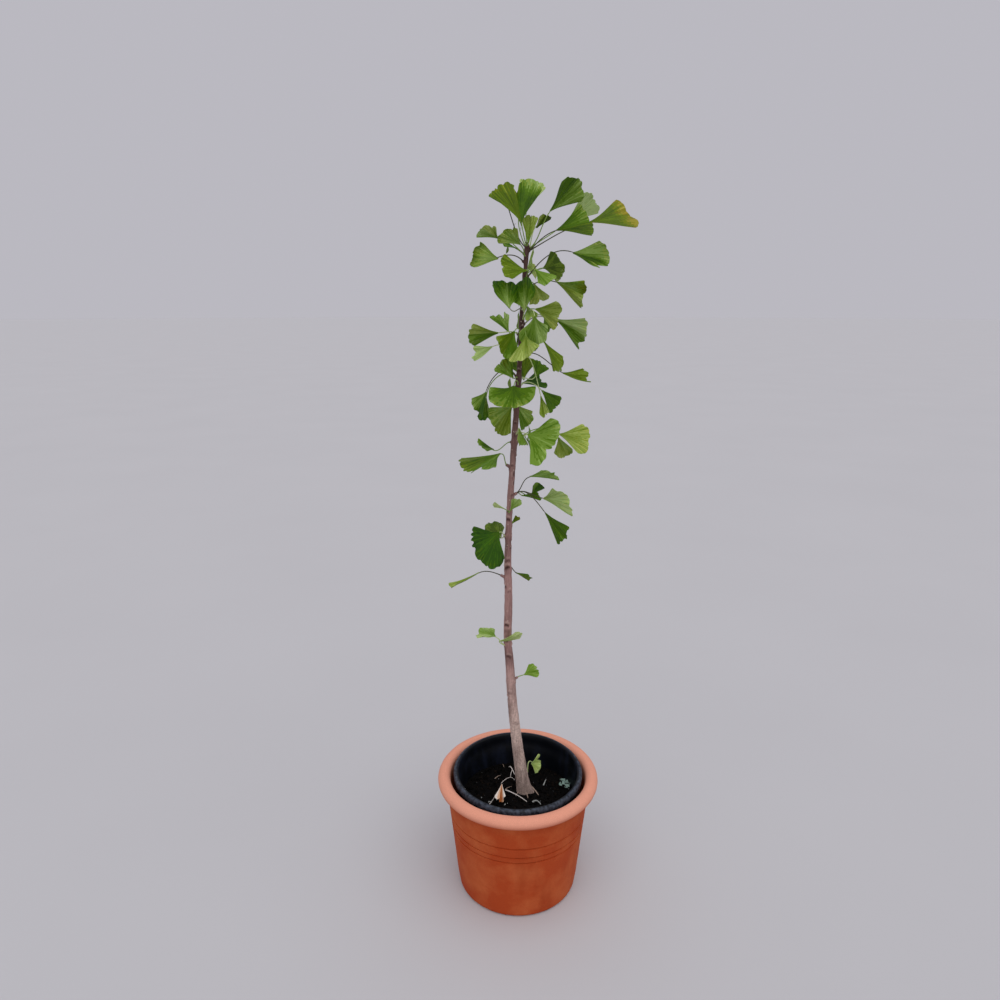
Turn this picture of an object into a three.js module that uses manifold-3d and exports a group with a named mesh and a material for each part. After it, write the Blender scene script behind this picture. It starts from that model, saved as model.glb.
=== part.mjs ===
// A young ginkgo tree in its black nursery pot, which stands inside a terracotta pot.
// Millimetres, +Z up. The origin is the centre of the terracotta pot's flat underside.
// -Y is the tree's front and +X its right-hand side; a bearing of 0 degrees is +X and 90 is +Y.
import * as THREE from "three";
import { mergeVertices } from "three/addons/utils/BufferGeometryUtils.js";
import Module from "manifold-3d";

const wasm = await Module();
wasm.setup();

// ---------------------------------------------------------------- driving sizes

const CLEARANCE = 0.3; // gap between two pieces that touch
const MERGE_DISTANCE = 1e-4; // corners closer together than this become one

const TERRACOTTA_POT = {
  height: 200.6,
  footRadius: 97,
  footRounding: 7,
  bodyTopRadius: 116, // where the body meets the rolled rim
  rimRadius: 130,
  rimThickness: 20, // the roll's height and its depth
  mouthRadius: 110,
  wall: 8.5,
  floor: 14,
  grooves: [110, 120, 137], // heights of the shallow turned grooves
  grooveDepth: 0.9,
  grooveHalfWidth: 2,
  sides: 24,
};

const NURSERY_POT = {
  rimHeight: 203, // above the ground
  rimRadius: 105,
  beadUndercut: 1, // how far the bead's lower edge stands back from its widest
  beadHeight: 9,
  beadDepth: 4,
  neckRadius: 99,
  footRadius: 78,
  wall: 1.8,
  floor: 2,
  sides: 24,
};

const SOIL = { surface: 152, unevenness: 1.5, levelRadius: 32, rings: 3, edgeGap: 1 };
const SOIL_WAVES = { broad: 3, narrow: 5, narrowShare: 0.6 }; // humps in a turn, and their heights

// Heights above the ground, places in plan and thicknesses along the stem.
const STEM = [
  { height: SOIL.surface + CLEARANCE, x: 11, y: 9, thickness: 23 },
  { height: 175, x: 8, y: 7, thickness: 22 },
  { height: 199, x: 5, y: 5, thickness: 21 },
  { height: 246, x: -1, y: 2, thickness: 18.6 },
  { height: 300, x: -7, y: 0, thickness: 16.8 },
  { height: 344, x: -11, y: -1, thickness: 15.8 },
  { height: 396, x: -14, y: -2, thickness: 14 },
  { height: 430, x: -17, y: -2, thickness: 13.4 },
  { height: 497, x: -16, y: -2, thickness: 13 },
  { height: 562, x: -17, y: 0, thickness: 11.4 },
  { height: 633, x: -15, y: 1, thickness: 9.8 },
  { height: 701, x: -11, y: 1, thickness: 9.6 },
  { height: 761, x: -7, y: 1, thickness: 9.4 },
  { height: 825, x: -3, y: 1, thickness: 8 },
  { height: 875, x: 0, y: 1, thickness: 7.2 },
  { height: 929, x: 2, y: 0, thickness: 7 },
  { height: 983, x: 6, y: 0, thickness: 6.2 },
  { height: 1018, x: 8, y: 0, thickness: 4.6 },
];
const STEM_SIDES = 10;
const STEM_RINGS = 20;
const STEM_RING_CROWDING = 1.15; // over 1 brings the rings closer together near the foot
const ROOT_FLARE = { reach: 5, toes: 4, turned: 0.6, fades: 22 }; // extra radius in toes at the soil

// Short side shoots: height on the stem, the way each points, its length and thickness.
const SPURS = [
  { name: "upper_right_spur", height: 742, bearing: 25, length: 8, thickness: 4.4 },
  { name: "upper_left_spur", height: 704, bearing: 215, length: 7, thickness: 4.6 },
  { name: "middle_right_spur", height: 661, bearing: 350, length: 5.5, thickness: 4.2 },
  { name: "lower_left_spur", height: 532, bearing: 190, length: 6, thickness: 4.4 },
  { name: "lower_right_spur", height: 360, bearing: 10, length: 4, thickness: 4 },
];
// A spur starts inside the stem, at a share of its radius, and tapers by shares of its own thickness.
const SPUR = { rise: 30, sides: 6, startsAt: 0.5, rootShare: 1.2, tipShare: 0.75 };

const STALK = { thickness: 3.6, sides: 3, steps: 2, rise: 35, pull: 0.35, intoBlade: 5 };
const BUD = { radius: 3.4, standOff: 1.2 };
const BLADE = { marginThickness: 6, stalkEndThickness: 4, crown: 1.8, stalkEndWidth: 5, marginPoints: 5 };
const BLADE_CROWN_AT = 0.5; // how far along the blade its middle is thickest, as a share of its length
const BLADE_CORNER_ROUNDING = 0.1; // both of these are shares of the blade's length
const BLADE_CORNER_SHARPNESS = 4; // how late along the margin the rounding sets in
const BLADE_UNEVENNESS = 0.045;
const BLADE_UNEVENNESS_STEP = 5; // in radians, from one point of the margin to the next
const PLAIN_CLEFT = 0.1; // a blade's cleft where its row gives none
const CLEFT_SHARE = 0.7; // how much of a real cleft the thick pad keeps

// Foliage masses. Each grows from the stem, or from a spur, at a height and on one side. A leaf's blade
// starts at a reach and rise from the stem's middle, out along a bearing. Its midline then points along
// an aim and a pitch, and its upper side faces along a bearing and a tilt. A blade's size is its length,
// and its span the angle that its fan opens to. Lengths are in millimetres and angles in degrees.
// A cleft is a share of the blade's length.
const MASSES = [
  { name: "top_front_leaves", height: 1013, side: 265, leaves: [
    { out: 248, reach: 22, rise: 30, aim: 117, pitch: 70, size: 60, span: 85, face: [273, 19], cleft: 0.36 },
    { out: 278, reach: 11, rise: 4, aim: 54, pitch: 80, size: 37, span: 44, face: [236, 10] },
  ] },
  { name: "top_back_leaves", height: 1012, side: 95, leaves: [
    { out: 89, reach: 30, rise: 54, aim: 44, pitch: 70, size: 40, span: 60, face: [270, 0] },
    { out: 150, reach: 29, rise: 52, aim: 127, pitch: 58, size: 34, span: 70, face: [270, 0], cleft: 0.2 },
    { out: 105, reach: 42, rise: 40, aim: 84, pitch: 26, size: 42, span: 80, face: [0, 10], cleft: 0.3 },
  ] },
  { name: "top_right_back_leaves", height: 1011, side: 20, leaves: [
    { out: 342, reach: 32, rise: 47, aim: 346, pitch: 47,
      size: 54, span: 82, face: [317, -40], cleft: 0.02 },
    { out: 60, reach: 28, rise: 29, aim: 310, pitch: 44, size: 24, span: 64, face: [304, -46], cleft: 0.02 },
    { out: 46, reach: 84, rise: 40, aim: 349, pitch: 39, size: 51, span: 77, face: [314, -45], cleft: 0.02 },
  ] },
  { name: "top_right_front_leaves", height: 1008, side: 335, leaves: [
    { out: 322, reach: 49, rise: 24, aim: 19, pitch: 13, size: 50, span: 64, face: [281, 29], cleft: 0.05 },
    { out: 7, reach: 87, rise: 38, aim: 11, pitch: 9, size: 61, span: 77, face: [266, 57], cleft: 0 },
  ] },
  { name: "left_leaves_at_1004", height: 1004, side: 150, leaves: [
    { out: 153, reach: 44, rise: 22, aim: 216, pitch: 26, size: 29, span: 88, face: [255, -58], cleft: 0.3 },
    { out: 119, reach: 46, rise: 21, aim: 88, pitch: 9, size: 38, span: 75, face: [180, 20], cleft: 0.2 },
  ] },
  { name: "front_leaves_at_1000", height: 1000, side: 250, leaves: [
    { out: 255, reach: 36, rise: 14, aim: 223, pitch: 28,
      size: 34, span: 67, face: [281, -45], cleft: 0.25 },
    { out: 240, reach: 26, rise: 9, aim: 205, pitch: 18, size: 30, span: 60, face: [250, 60] },
  ] },
  { name: "left_leaf_at_994", height: 994, side: 160, leaves: [
    { out: 153, reach: 43, rise: 5, aim: 133, pitch: 5, size: 53, span: 54, face: [225, 25] },
  ] },
  { name: "front_leaf_at_980", height: 980, side: 268, leaves: [
    { out: 270, reach: 40, rise: 0, aim: 198, pitch: 6, size: 36, span: 88, face: [295, 48], cleft: 0.05 },
  ] },
  { name: "back_leaves_at_976", height: 976, side: 80, leaves: [
    { out: 84, reach: 50, rise: 12, aim: 73, pitch: 13, size: 40, span: 75, face: [0, 10], cleft: 0.2 },
    { out: 57, reach: 50, rise: 11, aim: 16, pitch: 20, size: 30, span: 87, face: [271, 36], cleft: 0.04 },
  ] },
  { name: "right_leaves_at_974", height: 974, side: 25, leaves: [
    { out: 42, reach: 37, rise: 13, aim: 317, pitch: 0, size: 32, span: 104, face: [47, 22], cleft: 0.04 },
    { out: 23, reach: 74, rise: 33, aim: 357, pitch: -10, size: 52, span: 79, face: [274, 39], cleft: 0.42 },
  ] },
  { name: "right_leaf_at_958", height: 958, side: 330, leaves: [
    { out: 336, reach: 49, rise: 8, aim: 332, pitch: -23,
      size: 44, span: 58, face: [230, -26], cleft: 0.02 },
  ] },
  { name: "front_leaf_at_958", height: 958, side: 288, leaves: [
    { out: 285, reach: 52, rise: 23, aim: 329, pitch: -39,
      size: 28, span: 78, face: [290, 44], cleft: 0.05 },
  ] },
  { name: "back_leaves_at_950", height: 950, side: 80, leaves: [
    { out: 69, reach: 48, rise: 15, aim: 64, pitch: -48, size: 34, span: 60, face: [270, 0], cleft: 0.2 },
    { out: 95, reach: 52, rise: 6, aim: 84, pitch: 5, size: 40, span: 80, face: [180, 15], cleft: 0.2 },
  ] },
  { name: "front_leaves_at_929", height: 929, side: 265, leaves: [
    { out: 274, reach: 40, rise: 0, aim: 90, pitch: 81, size: 43, span: 114, face: [217, 6], cleft: 0.02 },
    { out: 250, reach: 54, rise: 3, aim: 129, pitch: 55, size: 43, span: 111, face: [316, 35], cleft: 0.12 },
  ] },
  { name: "front_leaves_at_916", height: 916, side: 290, leaves: [
    { out: 291, reach: 48, rise: 15, aim: 346, pitch: -14,
      size: 35, span: 79, face: [248, -29], cleft: 0.06 },
    { out: 285, reach: 60, rise: 6, aim: 278, pitch: -80, size: 45, span: 127, face: [211, 4], cleft: 0.12 },
    { out: 285, reach: 26, rise: 18, aim: 290, pitch: -41, size: 24, span: 50, face: [270, 0] },
  ] },
  { name: "right_leaves_at_910", height: 910, side: 40, leaves: [
    { out: 55, reach: 61, rise: 8, aim: 64, pitch: -37, size: 30, span: 60, face: [270, 0] },
    { out: 31, reach: 59, rise: 6, aim: 333, pitch: -24, size: 51, span: 64, face: [229, -29], cleft: 0.12 },
    { out: 90, reach: 50, rise: -8, aim: 88, pitch: -2, size: 42, span: 80, face: [0, 10], cleft: 0.2 },
  ] },
  { name: "left_leaves_at_896", height: 896, side: 165, leaves: [
    { out: 212, reach: 38, rise: 3, aim: 185, pitch: -3, size: 41, span: 68, face: [278, -44], cleft: 0.03 },
    { out: 109, reach: 53, rise: 2, aim: 126, pitch: 43, size: 36, span: 56, face: [284, 45], cleft: 0.35 },
  ] },
  { name: "front_leaves_at_891", height: 891, side: 262, leaves: [
    { out: 266, reach: 58, rise: 12, aim: 282, pitch: -44, size: 46, span: 85, face: [270, 20], cleft: 0.2 },
    { out: 254, reach: 46, rise: 9, aim: 242, pitch: -33, size: 38, span: 70, face: [265, 10] },
  ] },
  { name: "left_leaf_at_870", height: 870, side: 135, leaves: [
    { out: 135, reach: 57, rise: 7, aim: 128, pitch: -25, size: 39, span: 46, face: [209, 18], cleft: 0.03 },
    { out: 95, reach: 52, rise: 6, aim: 90, pitch: -3, size: 40, span: 80, face: [180, 10], cleft: 0.2 },
  ] },
  { name: "right_leaves_at_866", height: 866, side: 315, leaves: [
    { out: 317, reach: 44, rise: 21, aim: 2, pitch: -63, size: 46, span: 70, face: [330, 23], cleft: 0.03 },
    { out: 309, reach: 45, rise: -53, aim: 279, pitch: -31, size: 43, span: 26, face: [222, 42] },
  ] },
  { name: "right_leaf_at_866", height: 866, side: 22, leaves: [
    { out: 22, reach: 68, rise: -26, aim: 35, pitch: -18, size: 46, span: 48, face: [319, 38], cleft: 0.06 },
  ] },
  { name: "left_front_leaves_at_836", height: 836, side: 250, leaves: [
    { out: 251, reach: 32, rise: 3, aim: 180, pitch: 49, size: 27, span: 68, face: [296, 21], cleft: 0.04 },
    { out: 249, reach: 24, rise: 1, aim: 232, pitch: 62, size: 32, span: 31, face: [284, -18], cleft: 0.02 },
  ] },
  { name: "left_leaves_at_838", height: 838, side: 148, leaves: [
    { out: 157, reach: 51, rise: -25, aim: 124, pitch: -49,
      size: 40, span: 60, face: [220, -6], cleft: 0.03 },
    { out: 139, reach: 63, rise: -36, aim: 65, pitch: -79, size: 36, span: 60, face: [230, 0] },
  ] },
  { name: "back_leaves_at_832", height: 832, side: 70, leaves: [
    { out: 80, reach: 56, rise: -2, aim: 98, pitch: 43, size: 38, span: 80, face: [270, 0], cleft: 0.2 },
    { out: 58, reach: 47, rise: 0, aim: 60, pitch: 43, size: 30, span: 60, face: [270, 0] },
  ] },
  { name: "front_leaf_at_826", height: 826, side: 262, leaves: [
    { out: 261, reach: 45, rise: 3, aim: 249, pitch: -69,
      size: 33, span: 172, face: [236, 20], cleft: 0.08 },
  ] },
  { name: "right_leaves_at_822", height: 822, side: 65, leaves: [
    { out: 81, reach: 51, rise: 1, aim: 26, pitch: 2, size: 36, span: 70, face: [270, 60] },
    { out: 44, reach: 50, rise: -8, aim: 13, pitch: -48, size: 35, span: 63, face: [308, 21], cleft: 0.03 },
  ] },
  { name: "back_leaves_at_800", height: 800, side: 98, leaves: [
    { out: 101, reach: 34, rise: -8, aim: 220, pitch: -40, size: 48, span: 82, face: [309, 1], cleft: 0.05 },
    { out: 89, reach: 54, rise: -10, aim: 47, pitch: -51, size: 44, span: 62, face: [317, 0], cleft: 0.05 },
    { out: 99, reach: 50, rise: 6, aim: 85, pitch: -6, size: 42, span: 80, face: [0, 10], cleft: 0.2 },
  ] },
  { name: "front_leaves_at_755", height: 755, side: 288, leaves: [
    { out: 280, reach: 32, rise: 12, aim: 277, pitch: -48, size: 28, span: 50, face: [300, 0] },
    { out: 290, reach: 49, rise: 7, aim: 343, pitch: -14, size: 43, span: 131, face: [267, 45], cleft: 0.2 },
  ] },
  { name: "right_leaves_at_742", spur: "upper_right_spur", height: 742, side: 25, leaves: [
    { out: 33, reach: 81, rise: 0, aim: 359, pitch: -66, size: 33, span: 80, face: [238, -13], cleft: 0.06 },
    { out: 11, reach: 68, rise: 10, aim: 4, pitch: -15, size: 48, span: 80, face: [286, 38], cleft: 0.05 },
    { out: 66, reach: 50, rise: -4, aim: 76, pitch: -10, size: 40, span: 75, face: [0, 5], cleft: 0.2 },
  ] },
  { name: "left_leaf_at_742", height: 742, side: 140, leaves: [
    { out: 142, reach: 38, rise: -15, aim: 220, pitch: 19,
      size: 30, span: 64, face: [343, 57], cleft: 0.03 },
  ] },
  { name: "left_leaf_at_704", spur: "upper_left_spur", height: 704, side: 215, leaves: [
    { out: 237, reach: 32, rise: 27, aim: 215, pitch: -19,
      size: 60, span: 98, face: [210, 71], cleft: 0.05 },
  ] },
  { name: "right_back_leaves_at_661", spur: "middle_right_spur", height: 663, side: 25, leaves: [
    { out: 38, reach: 37, rise: 23, aim: 17, pitch: -2, size: 45, span: 84, face: [309, 85] },
    { out: 40, reach: 43, rise: -7, aim: 8, pitch: 66, size: 22, span: 85, face: [312, -14], cleft: 0 },
    { out: 37, reach: 21, rise: -4, aim: 4, pitch: -9, size: 30, span: 68, face: [320, 77] },
  ] },
  { name: "right_front_leaves_at_661", spur: "middle_right_spur", height: 659, side: 330, leaves: [
    { out: 326, reach: 57, rise: 7, aim: 310, pitch: 12, size: 52, span: 64, face: [227, -31], cleft: 0.02 },
    { out: 342, reach: 54, rise: -19, aim: 316, pitch: -37,
      size: 50, span: 50, face: [220, -8], cleft: 0.06 },
  ] },
  { name: "front_leaves_at_637", height: 637, side: 262, leaves: [
    { out: 273, reach: 22, rise: 9, aim: 355, pitch: 56, size: 21, span: 71, face: [298, -20], cleft: 0 },
    { out: 246, reach: 22, rise: 11, aim: 169, pitch: 18, size: 17, span: 43, face: [66, 33], cleft: 0 },
  ] },
  { name: "right_leaf_at_616", height: 616, side: 60, leaves: [
    { out: 72, reach: 14, rise: -1, aim: 38, pitch: 30, size: 16, span: 42, face: [264, 50], cleft: 0 },
  ] },
  { name: "left_leaf_at_600", height: 600, side: 218, leaves: [
    { out: 236, reach: 25, rise: 7, aim: 171, pitch: -56,
      size: 56, span: 123, face: [232, 18], cleft: 0.06 },
  ] },
  { name: "back_leaf_at_600", height: 600, side: 105, leaves: [
    { out: 111, reach: 31, rise: -13, aim: 136, pitch: 49, size: 31, span: 91, face: [140, -40] },
  ] },
  { name: "right_leaf_at_546", height: 546, side: 60, leaves: [
    { out: 60, reach: 24, rise: -12, aim: 18, pitch: -34, size: 28, span: 50, face: [30, 60], cleft: 0 },
  ] },
  { name: "left_leaf_at_533", spur: "lower_left_spur", height: 533, side: 195, leaves: [
    { out: 191, reach: 45, rise: 12, aim: 225, pitch: -15, size: 55, span: 30, face: [165, 62] },
  ] },
  { name: "left_leaves_at_425", height: 425, side: 240, leaves: [
    { out: 204, reach: 21, rise: 16, aim: 158, pitch: 2, size: 31, span: 130, face: [286, 86] },
    { out: 248, reach: 16, rise: 11, aim: 3, pitch: 14, size: 30, span: 54, face: [104, 37], cleft: 0 },
  ] },
  { name: "right_leaf_at_360", spur: "lower_right_spur", height: 360, side: 10, leaves: [
    { out: 12, reach: 22, rise: 9, aim: 21, pitch: 14, size: 25, span: 88, face: [259, 64] },
  ] },
  { name: "foot_sprout_leaf", height: 158, side: 65, leaves: [
    { out: 70, reach: 36, rise: 26, aim: 24, pitch: -4, size: 25, span: 130, face: [294, -2], cleft: 0.3 },
  ] },
];

const FINISH = {
  terracotta: { color: "#a9532c", roughness: 0.85, metalness: 0 },
  blackPlastic: { color: "#1c1d21", roughness: 0.5, metalness: 0 },
  soil: { color: "#17130f", roughness: 1, metalness: 0 },
  bark: { color: "#856659", roughness: 0.9, metalness: 0 },
  leaf: { color: "#5c8a2a", roughness: 0.6, metalness: 0 },
};

// ---------------------------------------------------------------- shared helpers

const radians = THREE.MathUtils.degToRad;

/** A unit vector along a bearing, raised by a pitch, both in degrees. */
function heading(bearing, pitch) {
  const level = Math.cos(radians(pitch));
  return new THREE.Vector3(
    level * Math.cos(radians(bearing)),
    level * Math.sin(radians(bearing)),
    Math.sin(radians(pitch)),
  );
}

/** A closed three.js geometry as a solid that can be joined and cut. */
function toSolid(geometry) {
  const bare = geometry.index ? geometry.toNonIndexed() : geometry.clone();
  bare.deleteAttribute("normal");
  bare.deleteAttribute("uv");
  const merged = mergeVertices(bare, MERGE_DISTANCE);
  return new wasm.Manifold(
    new wasm.Mesh({
      numProp: 3,
      vertProperties: new Float32Array(merged.attributes.position.array),
      triVerts: new Uint32Array(merged.index.array),
    }),
  );
}

/** The solid's triangles as a three.js geometry. */
function toGeometry(solid) {
  const { vertProperties, triVerts } = solid.getMesh();
  const geometry = new THREE.BufferGeometry();
  geometry.setAttribute("position", new THREE.BufferAttribute(vertProperties, 3));
  geometry.setIndex(new THREE.BufferAttribute(triVerts, 1));
  geometry.computeVertexNormals();
  return geometry;
}

/** The largest connected piece of a solid, without the crumbs that a cut can leave. */
function largestPiece(solid) {
  return solid.decompose().reduce((a, b) => (b.volume() > a.volume() ? b : a));
}

/** A closed geometry from rings of points, each ring with as many points, capped flat at both ends. */
function loft(rings) {
  const sides = rings[0].length;
  const last = rings.length - 1;
  const points = rings.flat();
  const faces = [];
  const middle = (ring) =>
    ring.reduce((sum, p) => sum.add(p), new THREE.Vector3()).divideScalar(ring.length);
  const bottom = points.push(middle(rings[0])) - 1;
  const top = points.push(middle(rings[last])) - 1;
  for (let i = 0; i < sides; i += 1) {
    const next = (i + 1) % sides;
    faces.push(bottom, next, i);
    faces.push(top, last * sides + i, last * sides + next);
    for (let r = 0; r < last; r += 1) {
      const low = r * sides;
      const high = low + sides;
      faces.push(low + i, low + next, high + next);
      faces.push(low + i, high + next, high + i);
    }
  }
  const geometry = new THREE.BufferGeometry().setFromPoints(points);
  geometry.setIndex(faces);
  return geometry;
}

/** A named mesh with its own material. */
function part(name, geometry, finish) {
  const mesh = new THREE.Mesh(geometry, new THREE.MeshStandardMaterial(finish));
  mesh.name = name;
  return mesh;
}

/** Points of a quarter or half round in the profile plane, from one angle to another in degrees. */
function arc(x, z, radiusX, radiusZ, from, to, steps) {
  return Array.from({ length: steps + 1 }, (_, i) => {
    const angle = radians(from + ((to - from) * i) / steps);
    return new THREE.Vector2(x + radiusX * Math.cos(angle), z + radiusZ * Math.sin(angle));
  });
}

/** A solid turned about the Z axis from a profile of radius and height. */
function turned(profile, sides) {
  return new THREE.LatheGeometry(profile, sides).rotateX(Math.PI / 2);
}

// ---------------------------------------------------------------- pots and soil

/** The terracotta pot: flat foot, straight body with turned grooves, rolled rim, hollow inside. */
function terracottaPot() {
  const p = TERRACOTTA_POT;
  const rimLow = p.height - p.rimThickness;
  const slope = (p.bodyTopRadius - p.footRadius) / rimLow;
  const outside = (height) => p.footRadius + slope * height;
  const grooves = p.grooves.flatMap((height) => [
    new THREE.Vector2(outside(height - p.grooveHalfWidth), height - p.grooveHalfWidth),
    new THREE.Vector2(outside(height) - p.grooveDepth, height),
    new THREE.Vector2(outside(height + p.grooveHalfWidth), height + p.grooveHalfWidth),
  ]);
  const half = p.rimThickness / 2;
  const profile = [
    new THREE.Vector2(0, 0),
    ...arc(p.footRadius - p.footRounding, p.footRounding, p.footRounding, p.footRounding, -90, 0, 3),
    ...grooves,
    new THREE.Vector2(outside(rimLow), rimLow),
    ...arc(p.rimRadius - half, p.height - half, half, half, -60, 90, 4),
    ...arc(p.mouthRadius + half, p.height - half, half, half, 90, 180, 2),
    new THREE.Vector2(outside(rimLow) - p.wall, rimLow - half),
    new THREE.Vector2(outside(p.floor) - p.wall, p.floor),
    new THREE.Vector2(0, p.floor),
  ];
  return part("terracotta_pot", turned(profile, p.sides), FINISH.terracotta);
}

/** The outside radius of the nursery pot's tapering wall at a height above the ground. */
function nurseryRadius(height) {
  const p = NURSERY_POT;
  const foot = TERRACOTTA_POT.floor + CLEARANCE;
  const share = (height - foot) / (p.rimHeight - p.beadHeight - foot);
  return p.footRadius + share * (p.neckRadius - p.footRadius);
}

/** The thin black pot inside: it stands on the terracotta pot's floor, and has a turned-over rim. */
function nurseryPot() {
  const p = NURSERY_POT;
  const foot = TERRACOTTA_POT.floor + CLEARANCE;
  const neck = p.rimHeight - p.beadHeight;
  const profile = [
    new THREE.Vector2(0, foot),
    new THREE.Vector2(p.footRadius, foot),
    new THREE.Vector2(p.neckRadius, neck),
    new THREE.Vector2(p.rimRadius - p.beadUndercut, neck),
    ...arc(p.rimRadius - p.beadDepth, p.rimHeight - p.beadDepth, p.beadDepth, p.beadDepth, 0, 150, 4),
    new THREE.Vector2(nurseryRadius(neck) - p.wall, neck),
    new THREE.Vector2(nurseryRadius(foot + p.floor) - p.wall, foot + p.floor),
    new THREE.Vector2(0, foot + p.floor),
  ];
  return part("nursery_pot", turned(profile, p.sides), FINISH.blackPlastic);
}

/** The root ball's soil: it fills the nursery pot, with an uneven top that is level round the stem. */
function soil() {
  const base = TERRACOTTA_POT.floor + CLEARANCE + NURSERY_POT.floor + CLEARANCE;
  const inside = (height) => nurseryRadius(height) - NURSERY_POT.wall - CLEARANCE;
  const ring = (radius, height) =>
    Array.from({ length: NURSERY_POT.sides }, (_, i) => {
      const angle = (2 * Math.PI * i) / NURSERY_POT.sides;
      const out = Math.max(0, 1 - (SOIL.levelRadius / radius) ** 2);
      const broad = Math.sin(SOIL_WAVES.broad * angle + radius);
      const narrow = SOIL_WAVES.narrowShare * Math.cos(SOIL_WAVES.narrow * angle - radius);
      const level = height < SOIL.surface ? height : height + out * (broad + narrow) * SOIL.unevenness;
      return new THREE.Vector3(radius * Math.cos(angle), radius * Math.sin(angle), level);
    });
  const edge = inside(SOIL.surface) - SOIL.edgeGap;
  const rings = [ring(inside(base), base)];
  for (let i = SOIL.rings; i > 0; i -= 1) {
    rings.push(ring((edge * i) / SOIL.rings, SOIL.surface));
  }
  return part("soil", loft(rings), FINISH.soil);
}

// ---------------------------------------------------------------- stem and spurs

const HALVINGS = 30; // enough to find a height on the curve to well under a micrometre

const stemMiddle = new THREE.CatmullRomCurve3(
  STEM.map((s) => new THREE.Vector3(s.x, s.y, s.height)),
  false,
  "centripetal",
);

/** The stem's middle and radius at a height, read between its stations. */
function stemAt(height) {
  let low = 0;
  let high = 1;
  for (let i = 0; i < HALVINGS; i += 1) {
    const mid = (low + high) / 2;
    if (stemMiddle.getPoint(mid).z < height) low = mid;
    else high = mid;
  }
  const after = Math.max(1, STEM.findIndex((s) => s.height >= height));
  const a = STEM[after - 1];
  const b = STEM[after];
  const share = THREE.MathUtils.clamp((height - a.height) / (b.height - a.height), 0, 1);
  return {
    middle: stemMiddle.getPoint(low),
    radius: (a.thickness + share * (b.thickness - a.thickness)) / 2,
  };
}

/** The stem from its flat cut on the soil to its tip, with root toes at the foot, swollen by a margin. */
function stemGeometry(margin) {
  const foot = STEM[0].height;
  const tip = STEM.at(-1).height;
  const rings = Array.from({ length: STEM_RINGS + 1 }, (_, r) => {
    const height = foot + (tip - foot) * (r / STEM_RINGS) ** STEM_RING_CROWDING;
    const { middle, radius } = stemAt(height);
    const flare = ROOT_FLARE.reach * Math.exp(-(height - foot) / ROOT_FLARE.fades);
    return Array.from({ length: STEM_SIDES }, (_, i) => {
      const angle = (2 * Math.PI * i) / STEM_SIDES;
      const toe = 0.5 + 0.5 * Math.cos(ROOT_FLARE.toes * (angle + ROOT_FLARE.turned));
      const reach = radius + flare * toe + margin;
      return new THREE.Vector3(
        middle.x + reach * Math.cos(angle),
        middle.y + reach * Math.sin(angle),
        height,
      );
    });
  });
  return loft(rings);
}

/** A spur's root on the stem, its direction and its tip. */
function spurLine(spur) {
  const { middle, radius } = stemAt(spur.height);
  const along = heading(spur.bearing, SPUR.rise);
  const root = middle.clone().addScaledVector(along, radius * SPUR.startsAt);
  const tip = middle.clone().addScaledVector(along, radius + spur.length);
  return { root, along, tip };
}

/** A short tapering side shoot, swollen by a margin, before the stem is cut from it. */
function spurSolid(spur, margin) {
  const { root, along, tip } = spurLine(spur);
  const across = new THREE.Vector3().crossVectors(along, new THREE.Vector3(0, 0, 1)).normalize();
  const up = new THREE.Vector3().crossVectors(across, along);
  const ring = (middle, radius) =>
    Array.from({ length: SPUR.sides }, (_, i) => {
      const angle = (2 * Math.PI * i) / SPUR.sides;
      return middle
        .clone()
        .addScaledVector(across, radius * Math.cos(angle))
        .addScaledVector(up, -radius * Math.sin(angle));
    });
  const thick = spur.thickness / 2 + margin;
  const end = tip.clone().addScaledVector(along, margin);
  return toSolid(loft([ring(root, thick * SPUR.rootShare), ring(end, thick * SPUR.tipShare)]));
}

// ---------------------------------------------------------------- foliage

/** Where a leaf's blade starts, measured from the stem's middle at its mass's height. */
function bladeStart(mass, leaf) {
  return stemAt(mass.height).middle.clone()
    .addScaledVector(heading(leaf.out, 0), leaf.reach)
    .add(new THREE.Vector3(0, 0, leaf.rise));
}

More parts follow.
